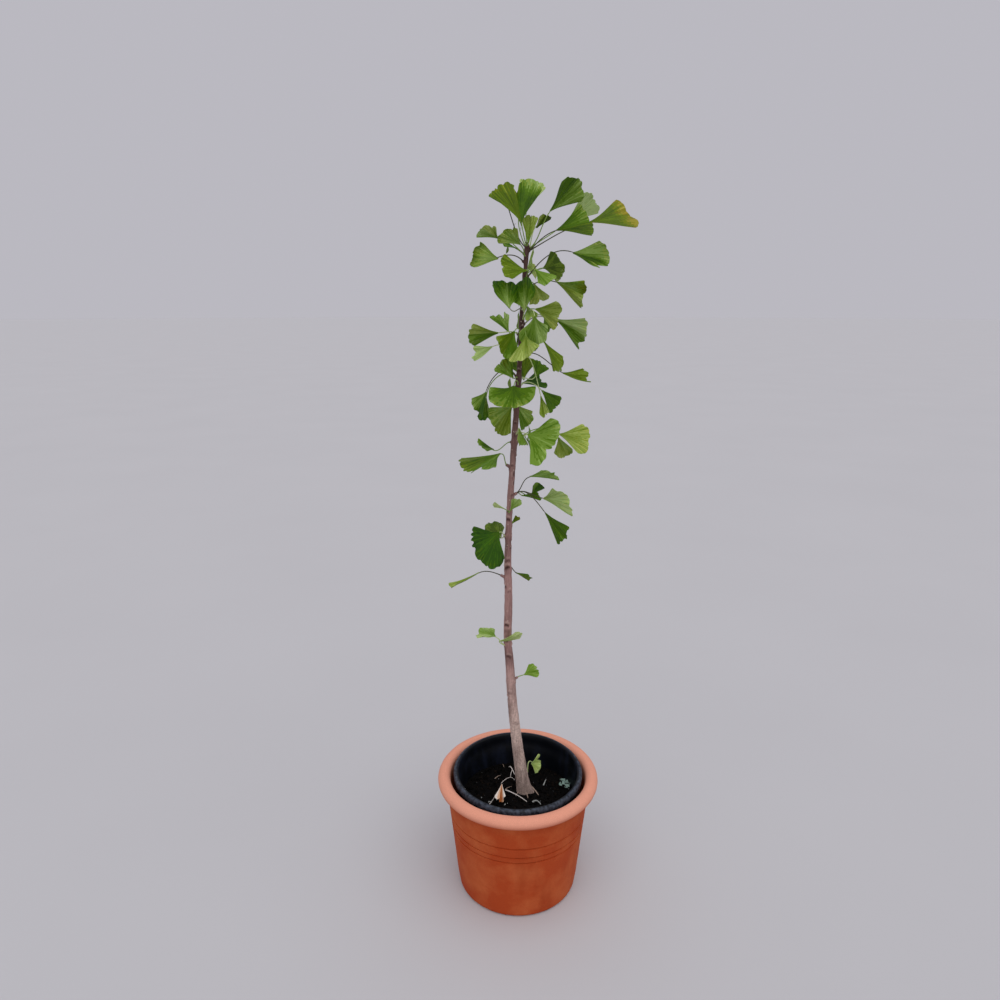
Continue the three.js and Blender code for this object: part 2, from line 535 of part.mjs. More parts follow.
/** A fan-shaped blade as a thick pad with a crowned middle and a cleft margin, swollen by a margin. */
function bladeSolid(mass, leaf, margin) {
  const along = heading(leaf.aim, leaf.pitch);
  const face = heading(...leaf.face);
  face.addScaledVector(along, -face.dot(along)).normalize();
  const across = new THREE.Vector3().crossVectors(face, along);
  const start = bladeStart(mass, leaf);
  const place = (forward, sideways, up) =>
    start.clone()
      .addScaledVector(along, forward)
      .addScaledVector(across, sideways)
      .addScaledVector(face, up);
  const length = leaf.size + margin;
  const half = radians(leaf.span) / 2;
  const endWidth = BLADE.stalkEndWidth / 2 + margin;
  const outline = [{ forward: -margin, sideways: endWidth, thickness: BLADE.stalkEndThickness }];
  for (let i = 0; i < BLADE.marginPoints; i += 1) {
    const turn = (2 * i) / (BLADE.marginPoints - 1) - 1;
    const cleft = turn === 0 ? (leaf.cleft ?? PLAIN_CLEFT) * CLEFT_SHARE : 0;
    const wave = BLADE_UNEVENNESS * Math.sin(BLADE_UNEVENNESS_STEP * i + leaf.size);
    const radius = length * (1 - cleft - BLADE_CORNER_ROUNDING * turn ** BLADE_CORNER_SHARPNESS + wave);
    outline.push({
      forward: radius * Math.cos(half * turn),
      sideways: -radius * Math.sin(half * turn) - Math.sign(turn) * margin,
      thickness: BLADE.marginThickness,
    });
  }
  outline.push({ forward: -margin, sideways: -endWidth, thickness: BLADE.stalkEndThickness });
  const count = outline.length;
  const layer = (side) =>
    outline.map((o) => place(o.forward, o.sideways, side * (o.thickness / 2 + margin)));
  const crownHeight = BLADE.marginThickness / 2 + BLADE.crown + margin;
  const points = [...layer(1), ...layer(-1)];
  const top = points.push(place(length * BLADE_CROWN_AT, 0, crownHeight)) - 1;
  const bottom = points.push(place(length * BLADE_CROWN_AT, 0, -crownHeight)) - 1;
  const faces = [];
  for (let i = 0; i < count; i += 1) {
    const next = (i + 1) % count;
    faces.push(top, next, i);
    faces.push(bottom, count + i, count + next);
    faces.push(i, next, count + next);
    faces.push(i, count + next, count + i);
  }
  const geometry = new THREE.BufferGeometry().setFromPoints(points);
  geometry.setIndex(faces);
  return toSolid(geometry);
}

/** The foot of a mass: a bud on the stem's side, or at the tip of the spur that carries it. */
function massFoot(mass) {
  const spur = SPURS.find((s) => s.name === mass.spur);
  if (spur) return spurLine(spur).tip;
  const { middle, radius } = stemAt(mass.height);
  return middle.clone().addScaledVector(heading(mass.side, 0), radius + BUD.standOff);
}

/** A leaf stalk: it leaves the foot outwards and upwards, and runs into the blade along its midline. */
function stalkSolid(mass, leaf, margin) {
  const foot = massFoot(mass);
  const start = bladeStart(mass, leaf);
  const along = heading(leaf.aim, leaf.pitch);
  const distance = foot.distanceTo(start);
  const outwards = heading(leaf.out, STALK.rise);
  const curve = new THREE.CubicBezierCurve3(
    foot,
    foot.clone().addScaledVector(outwards, distance * STALK.pull),
    start.clone().addScaledVector(along, -distance * STALK.pull),
    start.clone().addScaledVector(along, STALK.intoBlade),
  );
  const radius = STALK.thickness / 2 + margin;
  const section = new THREE.Shape(
    Array.from({ length: STALK.sides }, (_, i) => {
      const angle = (2 * Math.PI * i) / STALK.sides;
      return new THREE.Vector2(radius * Math.cos(angle), radius * Math.sin(angle));
    }),
  );
  return toSolid(
    new THREE.ExtrudeGeometry(section, { steps: STALK.steps, extrudePath: curve, bevelEnabled: false }),
  );
}

/** A whole mass of leaves with its stalks and its bud, swollen by a margin. */
function massSolid(mass, margin) {
  const bud = new THREE.OctahedronGeometry(BUD.radius + margin, 0);
  bud.translate(...massFoot(mass));
  let solid = toSolid(bud);
  for (const leaf of mass.leaves) {
    solid = solid.add(stalkSolid(mass, leaf, margin)).add(bladeSolid(mass, leaf, margin));
  }
  return solid;
}

// ---------------------------------------------------------------- the whole plant

/** The meshes of the stem, the spurs and the foliage, each cut clear of those before it. */
function plant() {
  const meshes = [part("stem", stemGeometry(0), FINISH.bark)];
  const taken = [toSolid(stemGeometry(CLEARANCE))];
  const clearOfOthers = (solid) => largestPiece(taken.reduce((rest, other) => rest.subtract(other), solid));
  for (const spur of SPURS) {
    meshes.push(part(spur.name, toGeometry(clearOfOthers(spurSolid(spur, 0))), FINISH.bark));
    taken.push(spurSolid(spur, CLEARANCE));
  }
  for (const mass of MASSES) {
    meshes.push(part(mass.name, toGeometry(clearOfOthers(massSolid(mass, 0))), FINISH.leaf));
    taken.push(massSolid(mass, CLEARANCE));
  }
  return meshes;
}

const tree = new THREE.Group();
tree.add(terracottaPot(), nurseryPot(), soil(), ...plant());

export default tree;
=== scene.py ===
"""The looks of a young ginkgo tree in a black nursery pot that stands inside a terracotta pot.

The scene is in metres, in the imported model's frame: the origin is the middle of the terracotta pot's
underside, +Z is up, -Y is the tree's front and a bearing of 0 degrees points along +X. The sizes of the
parts are written in millimetres and turned to metres as each mesh is made.
"""

import bisect
import logging
import math
from collections.abc import Callable, Sequence
from dataclasses import dataclass, field
from enum import Enum

import bpy
import numpy as np
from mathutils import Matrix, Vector, noise


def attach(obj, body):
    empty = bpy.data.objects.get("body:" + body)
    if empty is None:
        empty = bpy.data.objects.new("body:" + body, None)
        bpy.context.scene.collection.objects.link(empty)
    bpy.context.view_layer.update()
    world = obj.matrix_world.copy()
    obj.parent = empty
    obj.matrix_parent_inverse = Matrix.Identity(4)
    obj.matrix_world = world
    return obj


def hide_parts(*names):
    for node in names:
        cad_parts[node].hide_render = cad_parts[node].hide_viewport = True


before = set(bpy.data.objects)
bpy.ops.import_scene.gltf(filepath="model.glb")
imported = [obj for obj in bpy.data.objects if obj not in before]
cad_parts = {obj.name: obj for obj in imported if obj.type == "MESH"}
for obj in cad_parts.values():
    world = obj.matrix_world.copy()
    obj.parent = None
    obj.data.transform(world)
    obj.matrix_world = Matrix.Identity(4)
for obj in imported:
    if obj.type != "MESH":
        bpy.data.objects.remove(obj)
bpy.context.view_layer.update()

LOG = logging.getLogger("ginkgo")
MM = 0.001
BODY = "root"
UP = np.array([0.0, 0.0, 1.0])
FULL_TURN = 2 * math.pi

Piece = bpy.types.Object
Material = bpy.types.Material
Inputs = Sequence[object] | dict[str | int, object]
Face = tuple[int, ...]
Pair = tuple[float, float]
Point = tuple[float, float, float]


# ---------------------------------------------------------------- shared helpers


def linear(colour: str) -> tuple[float, float, float, float]:
    """Turns an sRGB hex colour into the linear colour that the shaders take.

    Args:
        colour: The colour as "#rrggbb".

    Returns:
        Linear red, green and blue, with an alpha of 1.
    """
    values = [int(colour[i : i + 2], 16) / 255 for i in (1, 3, 5)]
    return (*(v / 12.92 if v <= 0.04045 else ((v + 0.055) / 1.055) ** 2.4 for v in values), 1.0)


@dataclass
class Surface:
    """A material in the making: its name, and the colour that its layers add up to so far."""

    name: str
    colour: object
    material: Material = field(init=False)
    coordinates: bpy.types.Node = field(init=False)

    def __post_init__(self) -> None:
        """Starts the material and reads each point's place on the object."""
        self.material = bpy.data.materials.new(self.name)
        self.material.use_nodes = True
        self.coordinates = self.add("TexCoord")

    def feed(self, node: bpy.types.Node, inputs: Inputs) -> None:
        """Links or sets a node's inputs.

        Args:
            node: The node that is fed.
            inputs: What goes to its inputs, in order or by name or number: an output socket, a node for
                its first live output, a hex colour or a value.
        """
        for key, value in inputs.items() if isinstance(inputs, dict) else enumerate(inputs):
            if isinstance(value, bpy.types.Node):
                value = next(socket for socket in value.outputs if socket.enabled)
            if isinstance(value, bpy.types.NodeSocket):
                self.material.node_tree.links.new(value, node.inputs[key])
            else:
                node.inputs[key].default_value = linear(value) if isinstance(value, str) else value

    def add(self, kind: str, inputs: Inputs = (), **settings: object) -> bpy.types.Node:
        """Adds a node with its settings, its values and the links that feed it.

        Args:
            kind: The node's type without its prefix, such as "TexNoise".
            inputs: What goes to its inputs, as for feed.
            settings: The node's own properties by name.

        Returns:
            The new node.
        """
        node = self.material.node_tree.nodes.new(f"ShaderNode{kind}")
        for name, value in settings.items():
            setattr(node, name, value)
        self.feed(node, inputs)
        return node

    def texture(self, kind: str, width: float, upright: float = 1.0, **inputs: float) -> bpy.types.Node:
        """Adds a texture whose pattern has a real size.

        Args:
            kind: The texture node's type without its prefix.
            width: How wide its features are, in mm.
            upright: How far the pattern is squeezed in height; under 1 it is drawn out upwards.
            inputs: The texture's other inputs by name.

        Returns:
            The texture node.
        """
        place = self.coordinates.outputs["Object"]
        if upright != 1.0:
            place = self.add("Mapping", {"Vector": place, "Scale": (1.0, 1.0, upright)})
        return self.add(kind, {"Vector": place, "Scale": 1 / (width * MM), **inputs})

    def cover(
        self, colour: str, pattern: object, start: float, end: float, most: float = 1.0, **settings: str
    ) -> bpy.types.Node:
        """Lays a colour over those so far, more and more as a pattern goes from one value to another.

        Args:
            colour: The colour, in hex.
            pattern: The node or socket whose value decides.
            start: The value up to which nothing is covered.
            end: The value past which the cover is full.
            most: How much a full cover hides.
            settings: The way that the cover comes in.

        Returns:
            The node that says how much is covered.
        """
        share = self.add("MapRange", [pattern, start, end, 0.0, most], **settings)
        self.colour = self.add("Mix", {0: share, 6: self.colour, 7: colour}, data_type="RGBA")
        return share

    def shade(self, pattern: object, ends: Pair, levels: Pair, share: object = 1.0) -> None:
        """Darkens and lightens the colours so far.

        Args:
            pattern: The node whose value decides.
            ends: Its values where the shading starts and ends.
            levels: What the colour is multiplied by at those two.
            share: How strong the shading is.
        """
        level = self.add("MapRange", [pattern, *ends, *levels])
        layers = {0: share, 6: self.colour, 7: level}
        self.colour = self.add("Mix", layers, data_type="RGBA", blend_type="MULTIPLY")

    def finish(
        self, gloss: float, roughness: float | tuple, relief: Sequence[tuple[object, float, float]] = ()
    ) -> Material:
        """Feeds the shader.

        Args:
            gloss: How much light the surface mirrors, where 0.5 is usual.
            roughness: One value, or a pattern with the roughness at its low and at its high places.
            relief: From the lowest up, each pattern that is raised, its strength and its depth in mm.

        Returns:
            The finished material.
        """
        inputs = {"Base Color": self.colour, "Specular IOR Level": gloss, "Roughness": roughness}
        if isinstance(roughness, tuple):
            pattern, low, high = roughness
            inputs["Roughness"] = self.add("MapRange", [pattern, 0.3, 0.7, low, high])
        for pattern, strength, depth in relief:
            bump = {"Strength": strength, "Distance": depth * MM, "Height": pattern}
            if "Normal" in inputs:
                bump["Normal"] = inputs["Normal"]
            inputs["Normal"] = self.add("Bump", bump)
        self.feed(self.material.node_tree.nodes["Principled BSDF"], inputs)
        return self.material


def heading(bearing: float, pitch: float = 0.0) -> np.ndarray:
    """A unit vector along a bearing, raised by a pitch, both in degrees."""
    b, p = math.radians(bearing), math.radians(pitch)
    return np.array([math.cos(p) * math.cos(b), math.cos(p) * math.sin(b), math.sin(p)])


def unit(vector: np.ndarray) -> np.ndarray:
    """The vector at a length of 1."""
    return vector / np.linalg.norm(vector)


def smooth(x: np.ndarray | float) -> np.ndarray:
    """Rises from 0 to 1 in an S curve as x goes from 0 to 1."""
    t = np.clip(x, 0.0, 1.0)
    return t * t * (3 - 2 * t)


def select_only(piece: Piece) -> None:
    """Leaves one object selected and active."""
    bpy.ops.object.select_all(action="DESELECT")
    piece.select_set(True)
    bpy.context.view_layer.objects.active = piece


def finish_mesh(piece: Piece, sharp_above: float, rebuild_normals: bool = True) -> None:
    """Merges doubles, points the faces outwards and shades the piece smooth up to an angle.

    Args:
        piece: The mesh object.
        sharp_above: Edges sharper than this many degrees stay crisp.
        rebuild_normals: False for a mesh whose faces already point the right way.
    """
    select_only(piece)
    if rebuild_normals:
        bpy.ops.object.mode_set(mode="EDIT")
        bpy.ops.mesh.select_all(action="SELECT")
        bpy.ops.mesh.remove_doubles(threshold=0.01 * MM)
        bpy.ops.mesh.normals_make_consistent(inside=False)
        bpy.ops.object.mode_set(mode="OBJECT")
    bpy.ops.object.shade_smooth_by_angle(angle=math.radians(sharp_above))


def apply_subdivision(piece: Piece, levels: int) -> None:
    """Rounds a piece with a subdivision surface and applies it."""
    select_only(piece)
    bpy.ops.object.modifier_add(type="SUBSURF")
    rounding = piece.modifiers[-1]
    rounding.levels = rounding.render_levels = levels
    bpy.ops.object.modifier_apply(modifier=rounding.name)


def hand_over(
    piece: Piece, stands_for: Sequence[str] = (), material: Material | None = None
) -> None:
    """Gives a shaped piece its material, ties it to the frame and reports it.

    Args:
        piece: The mesh object.
        stands_for: The CAD nodes that it replaces.
        material: Its one material, where it hasn't got its own yet.
    """
    if material:
        piece.data.materials.append(material)
    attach(piece, BODY)
    if stands_for:
        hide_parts(*stands_for)
    piece.data.calc_loop_triangles()
    triangles = len(piece.data.loop_triangles)
    LOG.info("%s: %d triangles, stands for %d nodes", piece.name, triangles, len(stands_for))


@dataclass(frozen=True)
class Ring:
    """A round section of a limb or a pot: the height or place of its middle and its radius, in mm."""

    middle: Point
    radius: float


def raise_rings(name: str, rings: Sequence[Ring], sides: int, along: Vector | None = None) -> Piece:
    """Raises a closed round piece from a filled circle, one extrusion for each ring.

    Args:
        name: The piece's name.
        rings: The sections in order, the first and the last of which are closed.
        sides: The number of points round each ring.
        along: The direction that the rings are square to, or None for straight up.

    Returns:
        The mesh object, with its place in its mesh.
    """
    bpy.ops.object.select_all(action="DESELECT")
    turn = along.to_track_quat("Z", "Y").to_euler() if along else (0.0, 0.0, 0.0)
    place, radius = Vector(rings[0].middle) * MM, rings[0].radius * MM
    bpy.ops.mesh.primitive_circle_add(
        vertices=sides, radius=radius, fill_type="NGON", location=place, rotation=turn
    )
    piece = bpy.context.active_object
    piece.name = piece.data.name = name
    bpy.ops.object.transform_apply(location=True, rotation=True, scale=True)
    bpy.ops.object.mode_set(mode="EDIT")
    bpy.ops.mesh.select_all(action="SELECT")
    for before, ring in zip(rings, rings[1:]):
        step = (Vector(ring.middle) - Vector(before.middle)) * MM
        bpy.ops.mesh.extrude_region_move(TRANSFORM_OT_translate={"value": step})
        grow = ring.radius / before.radius
        bpy.ops.transform.resize(value=(grow, grow, grow), center_override=Vector(ring.middle) * MM)
    bpy.ops.object.mode_set(mode="OBJECT")
    for face in piece.data.polygons:
        face.select = len(face.vertices) > 4
    bpy.ops.object.mode_set(mode="EDIT")
    bpy.ops.mesh.select_mode(type="FACE")
    bpy.ops.mesh.poke()
    bpy.ops.mesh.select_mode(type="VERT")
    bpy.ops.object.mode_set(mode="OBJECT")
    return piece


def press_relief(piece: Piece, relief: Callable[[Vector], Vector], sharp_above: float) -> Piece:
    """Moves each point of a mesh and finishes it.

    Args:
        piece: The mesh object.
        relief: Gives how far the point at a place moves, both in mm.
        sharp_above: Edges sharper than this many degrees stay crisp.

    Returns:
        The same object.
    """
    for vertex in piece.data.vertices:
        vertex.co += relief(vertex.co / MM) * MM
    piece.data.update()
    finish_mesh(piece, sharp_above)
    return piece


@dataclass
class JoinedMesh:
    """Many small shapes gathered in mm, which become one piece with a material for each slot."""

    points: list[np.ndarray] = field(default_factory=list)
    places: list[np.ndarray] = field(default_factory=list)
    faces: list[Face] = field(default_factory=list)
    slots: list[int] = field(default_factory=list)
    count: int = 0

    def add(
        self,
        points: np.ndarray,
        faces: Sequence[Face],
        slots: int | Sequence[int] = 0,
        places: np.ndarray | None = None,
    ) -> None:
        """Adds one shape.

        Args:
            points: Its points, in mm.
            faces: Its faces as point numbers, outwards.
            slots: The material slot of every face, or one slot for each.
            places: Each point's place on the shape's own map, for patterns that follow it.
        """
        self.points.append(points)
        self.places.append(np.zeros((len(points), 2)) if places is None else places)
        self.faces.extend(tuple(self.count + i for i in face) for face in faces)
        self.slots.extend([slots] * len(faces) if isinstance(slots, int) else slots)
        self.count += len(points)

    def build(self, name: str, materials: Sequence[Material], sharp_above: float) -> Piece:
        """Makes the piece.

        Args:
            name: The piece's name.
            materials: The material of each slot.
            sharp_above: Edges sharper than this many degrees stay crisp.

        Returns:
            The mesh object.
        """
        mesh = bpy.data.meshes.new(name)
        mesh.from_pydata(np.vstack(self.points) * MM, [], self.faces)
        for material in materials:
            mesh.materials.append(material)
        mesh.polygons.foreach_set("material_index", self.slots)
        corners = np.empty(len(mesh.loops), np.int32)
        mesh.loops.foreach_get("vertex_index", corners)
        layer = mesh.uv_layers.new(name="Blade")
        layer.uv.foreach_set("vector", np.vstack(self.places)[corners].ravel())
        mesh.update()
        piece = bpy.data.objects.new(name, mesh)
        bpy.context.scene.collection.objects.link(piece)
        finish_mesh(piece, sharp_above, rebuild_normals=False)
        return piece


def tube(path: np.ndarray, radii: np.ndarray, sides: int) -> tuple[np.ndarray, list[Face]]:
    """A closed round tube along a path.

    Args:
        path: The middle line's points, in mm.
        radii: The radius at each of them.
        sides: The number of points round it.

    Returns:
        The tube's points and faces.
    """
    tangents = np.gradient(path, axis=0)
    side = unit(np.cross(tangents[0], UP + 0.01))
    angles = FULL_TURN * np.arange(sides) / sides
    rings = []
    for middle, tangent, radius in zip(path, tangents, radii):
        tangent = unit(tangent)
        side = unit(side - tangent * (side @ tangent))
        up = np.cross(tangent, side)
        rings.append(middle + radius * (np.outer(np.cos(angles), side) + np.outer(np.sin(angles), up)))
    last = (len(path) - 1) * sides
    faces = [tuple(reversed(range(sides)))]
    for low in range(0, last, sides):
        for i in range(sides):
            j = (i + 1) % sides
            faces.append((low + i, low + j, low + sides + j, low + sides + i))
    faces.append(tuple(range(last, last + sides)))
    return np.vstack(rings), faces


def bezier(controls: Sequence[np.ndarray], steps: int) -> np.ndarray:
    """Points along a cubic curve with those four controls."""
    t = np.linspace(0, 1, steps + 1)[:, None]
    a, b, c, d = controls
    return (1 - t) ** 3 * a + 3 * (1 - t) ** 2 * t * b + 3 * (1 - t) * t**2 * c + t**3 * d


# ---------------------------------------------------------------- finishes

EASED = {"interpolation_type": "SMOOTHSTEP"}
BANDS_PER_UNIT = 20 / FULL_TURN  # how many bands a wave texture has in one unit of its pattern


@dataclass(frozen=True)
class FiredTerracotta:
    """Porous red earthenware, thrown and fired unglazed: matte, a little mottled, with a pale rim of dust
    and painted light.
    """

    body: str = "#AE441A"
    warm_patch: str = "#BE5E32"
    # the rim's paler colour: part dust bloom, part painted light from above
    dusty_and_lit_rim: str = "#EBA68C"
    damp_stain: str = "#9A3A14"
    grain: float = 0.9  # mm, coarser than the clay's own grain so that it shows
    cloud: float = 55.0  # mm
    run: float = 34.0  # mm
    turning: float = 3.2  # mm from one throwing mark to the next
    rim: Pair = (0.176, 0.195)  # metres above the ground, where the dust and the painted light on the rim come in

    def material(self) -> Material:
        """Makes the material: clouds of warmer clay, faint run-off stains and a rim made pale by dust and
        painted light.
        """
        surface = Surface("fired_terracotta", self.body)
        height = surface.add("SeparateXYZ", [surface.coordinates.outputs["Object"]]).outputs[2]
        clouds = surface.texture("TexNoise", self.cloud, Detail=5.0, Roughness=0.6)
        runs = surface.texture("TexNoise", self.run, 0.22, Detail=3.0)
        grains = surface.texture("TexNoise", self.grain, Detail=2.0)
        marks = surface.texture("TexWave", self.turning * BANDS_PER_UNIT, Distortion=1.2, Detail=2.0)
        marks.bands_direction = "Z"
        surface.cover(self.warm_patch, clouds, 0.42, 0.68)
        surface.cover(self.damp_stain, runs, 0.56, 0.74, 0.5)
        # the rim painted paler: part dust, part painted light falling on it from above
        surface.cover(self.dusty_and_lit_rim, height, *self.rim, 0.85, **EASED)
        surface.shade(grains, (0.3, 0.7), (0.9, 1.1))
        relief = [(marks.outputs["Fac"], 0.25, 0.15), (grains, 0.5, 0.2)]
        return surface.finish(0.2, (clouds, 0.78, 0.92), relief)


@dataclass(frozen=True)
class MouldedPolythene:
    """Recycled black polythene, blow-moulded: nearly black, faintly blue, with dried splashes of dust."""

    body: str = "#03050B"
    dust: str = "#171F33"
    # the rim's bead painted paler and bluer: a painted highlight
    rim_highlight: str = "#464D59"
    splash: float = 26.0  # mm
    highlight_patch: float = 5.0  # mm, the size of the patches of painted highlight on the rim
    moulding_grain: float = 1.2  # mm
    rim: Pair = (0.0988, 0.1015)  # metres out from the middle
    rim_above: float = 0.186  # metres above the ground

    def material(self) -> Material:
        """Makes the material: upright smears of dust over a satin black, and a painted highlight in patches
        on the rim.
        """
        surface = Surface("black_moulded_polythene", self.body)
        place = surface.coordinates.outputs["Object"]
        smears = surface.texture("TexNoise", self.splash, 0.35, Detail=7.0, Roughness=0.72)
        highlight_patches = surface.texture("TexNoise", self.highlight_patch, Detail=3.0)
        grain = surface.texture("TexNoise", self.moulding_grain, Detail=2.0)
        height = surface.add("SeparateXYZ", [place]).outputs[2]
        level = surface.add("Mapping", {"Vector": place, "Scale": (1.0, 1.0, 0.0)})
        outwards = surface.add("VectorMath", [level], operation="LENGTH")
        far_out = surface.add("MapRange", [outwards, *self.rim, 0.0, 1.0], **EASED)
        high_up = surface.add("Math", [height, self.rim_above], operation="GREATER_THAN")
        on_rim = surface.add("Math", [far_out, high_up], operation="MULTIPLY")
        # painted highlight on the rim's bead, laid in patches
        highlight_share = surface.add("MapRange", [highlight_patches, 0.36, 0.66, 0.15, 1.0])
        highlit = surface.add("Math", [on_rim, highlight_share], operation="MULTIPLY")
        surface.cover(self.dust, smears, 0.5, 0.76, 0.8)
        surface.cover(self.rim_highlight, highlit, 0.0, 1.0)
        return surface.finish(0.2, (smears, 0.38, 0.66), [(grain, 0.35, 0.12)])


@dataclass(frozen=True)
class PottingCompost:
    """Damp peat and bark compost: nearly black, with browner fibres and no shine."""

    damp: str = "#030202"
    fibre: str = "#0E0B09"
    clump: float = 7.0  # mm
    fibre_size: float = 1.6  # mm

    def material(self) -> Material:
        """Makes the material: brown fibres scattered over a damp black."""
        surface = Surface("damp_potting_compost", self.damp)
        clumps = surface.texture("TexNoise", self.clump, Detail=4.0)
        fibres = surface.texture("TexVoronoi", self.fibre_size)
        both = surface.add("Math", [clumps, fibres], operation="MULTIPLY")
        surface.cover(self.fibre, both, 0.22, 0.5)
        return surface.finish(0.1, (clumps, 0.82, 1.0), [(both, 0.9, 0.8)])


@dataclass(frozen=True)
class YoungBark:
    """Young bark: grey-brown, pitted and finely ridged at the foot, pinkish higher up, dark at the tip.

    The bands up the stem are pairs of heights above the ground in metres.
    """

    # the bark is darker low on the stem, up to about the nursery pot's rim
    darker_foot: str = "#A58F85"
    foot: str = "#CBB3A7"
    middle: str = "#A57F79"
    top: str = "#4C3530"
    shadow: str = "#5A3D38"
    scar: str = "#34130F"
    # the pale colour of a scar's raised lip: a painted highlight
    lip: str = "#CDB3A4"
    lenticel: str = "#CBB8AB"
    foot_lightening: Pair = (0.160, 0.215)
    smoothing: Pair = (0.250, 0.430)
    # where the bark darkens towards the tip: part its own darker young bark, part painted shade under the
    # crown
    darkening: Pair = (0.590, 0.870)
    leaf_shadow_at: float = 0.405  # metres above the ground: the middle of a band of painted shadow under the leaves at 425 mm
    leaf_shadow_reach: float = 0.030
    blotch: float = 20.0  # mm
    fissure: float = 2.4  # mm across
    pit: float = 3.2  # mm, the corky pits at the foot
    lenticel_size: float = 8.0  # mm between neighbours

    def material(self) -> Material:
        """Makes the material: colour changing up the stem, blotches, fissures, lenticels, scars, and
        painted shade, shadow and highlights.
        """
        surface = Surface("young_ginkgo_bark", self.darker_foot)
        height = surface.add("SeparateXYZ", [surface.coordinates.outputs["Object"]]).outputs[2]
        blotches = surface.texture("TexNoise", self.blotch, 0.2, Detail=5.0, Roughness=0.65)
        fissures = surface.texture("TexNoise", self.fissure, 0.14, Detail=4.0)
        pits = surface.texture("TexNoise", self.pit, Detail=3.0, Roughness=0.6)
        cells = surface.texture("TexVoronoi", self.lenticel_size)
        marks = surface.add("Attribute", attribute_name="scarring").outputs["Fac"]
        # a band of painted shadow just under the leaves at 425 mm
        above = surface.add("Math", [height, self.leaf_shadow_at], operation="SUBTRACT")
        away = surface.add("Math", [above], operation="ABSOLUTE")
        corky = surface.add("MapRange", [height, *self.smoothing, 1.0, 0.15])
        surface.cover(self.foot, height, *self.foot_lightening, **EASED)
        surface.cover(self.middle, height, *self.smoothing, **EASED)
        # darker towards the tip: part the bark's own colour, part painted shade under the crown
        surface.cover(self.top, height, *self.darkening, **EASED)
        surface.cover(self.shadow, away, self.leaf_shadow_reach, 0.0, 0.5, **EASED)
        surface.cover(self.shadow, blotches, 0.47, 0.72, 0.8)
        surface.shade(fissures, (0.3, 0.7), (0.76, 1.2))
        surface.shade(pits, (0.34, 0.64), (0.72, 1.16), corky)
        dots = surface.cover(self.lenticel, cells, 0.15, 0.09, 0.6)
        surface.cover(self.scar, marks, 0.0, 1.0, 0.92)
        # painted highlight on the scars' raised lips, where the marks are below 0
        surface.cover(self.lip, marks, 0.0, -1.0, 0.7)
        return surface.finish(0.3, (fissures, 0.88, 0.68), [(fissures, 0.8, 0.5), (dots, 0.6, 0.25)])


class Hue(Enum):
    """The families of leaf colour, in the order that they pass into each other: dark, middle and light."""

    COOL = ("#12300A", "#376B14", "#93BC7E")
    GREEN = ("#1A3606", "#52750C", "#B2CB80")
    OLIVE = ("#333C06", "#6C7A0A", "#C2CA6C")
    GOLD = ("#584410", "#957A1A", "#D6BE66")
    RUST = ("#37250D", "#6C4C1E", "#B08E50")
    UNDERSIDE = ("#2B4310", "#677F28", "#B6C884")


@dataclass(frozen=True)
class Tint:
    """One of the plain colours that the blades are dealt.

    Attributes:
        place: Its place among the families, in half steps from the first one.
        level: Its lightness, from 0 to 8.
    """

    place: int
    level: int
    lightest: int = 8

    @classmethod
    def nearest(cls, hue: float, level: float) -> "Tint":
        """The tint nearest to a place among the living families and a lightness."""
        last = 2 * list(Hue).index(Hue.RUST)
        return cls(min(max(round(2 * hue), 0), last), min(max(round(level), 0), cls.lightest))

    def underside(self) -> "Tint":
        """The duller tint that the blade's back has."""
        return Tint(2 * list(Hue).index(Hue.UNDERSIDE), 2 * round((1 + 0.75 * self.level) / 2))

    def family_colour(self, hue: Hue) -> np.ndarray:
        """The square root of the linear colour that the tint's lightness has in one family."""
        stops = np.sqrt([linear(stop) for stop in hue.value])
        share = 2 * self.level / self.lightest
        return np.array([np.interp(share, (0, 1, 2), channel) for channel in stops.T])

    def colour(self) -> tuple[float, float, float, float]:
        """The tint's linear colour, between two neighbouring families."""
        families = list(Hue)
        near, far = families[self.place // 2], families[(self.place + 1) // 2]
        mixed = ((self.family_colour(near) + self.family_colour(far)) / 2) ** 2
        return tuple(float(value) for value in mixed)


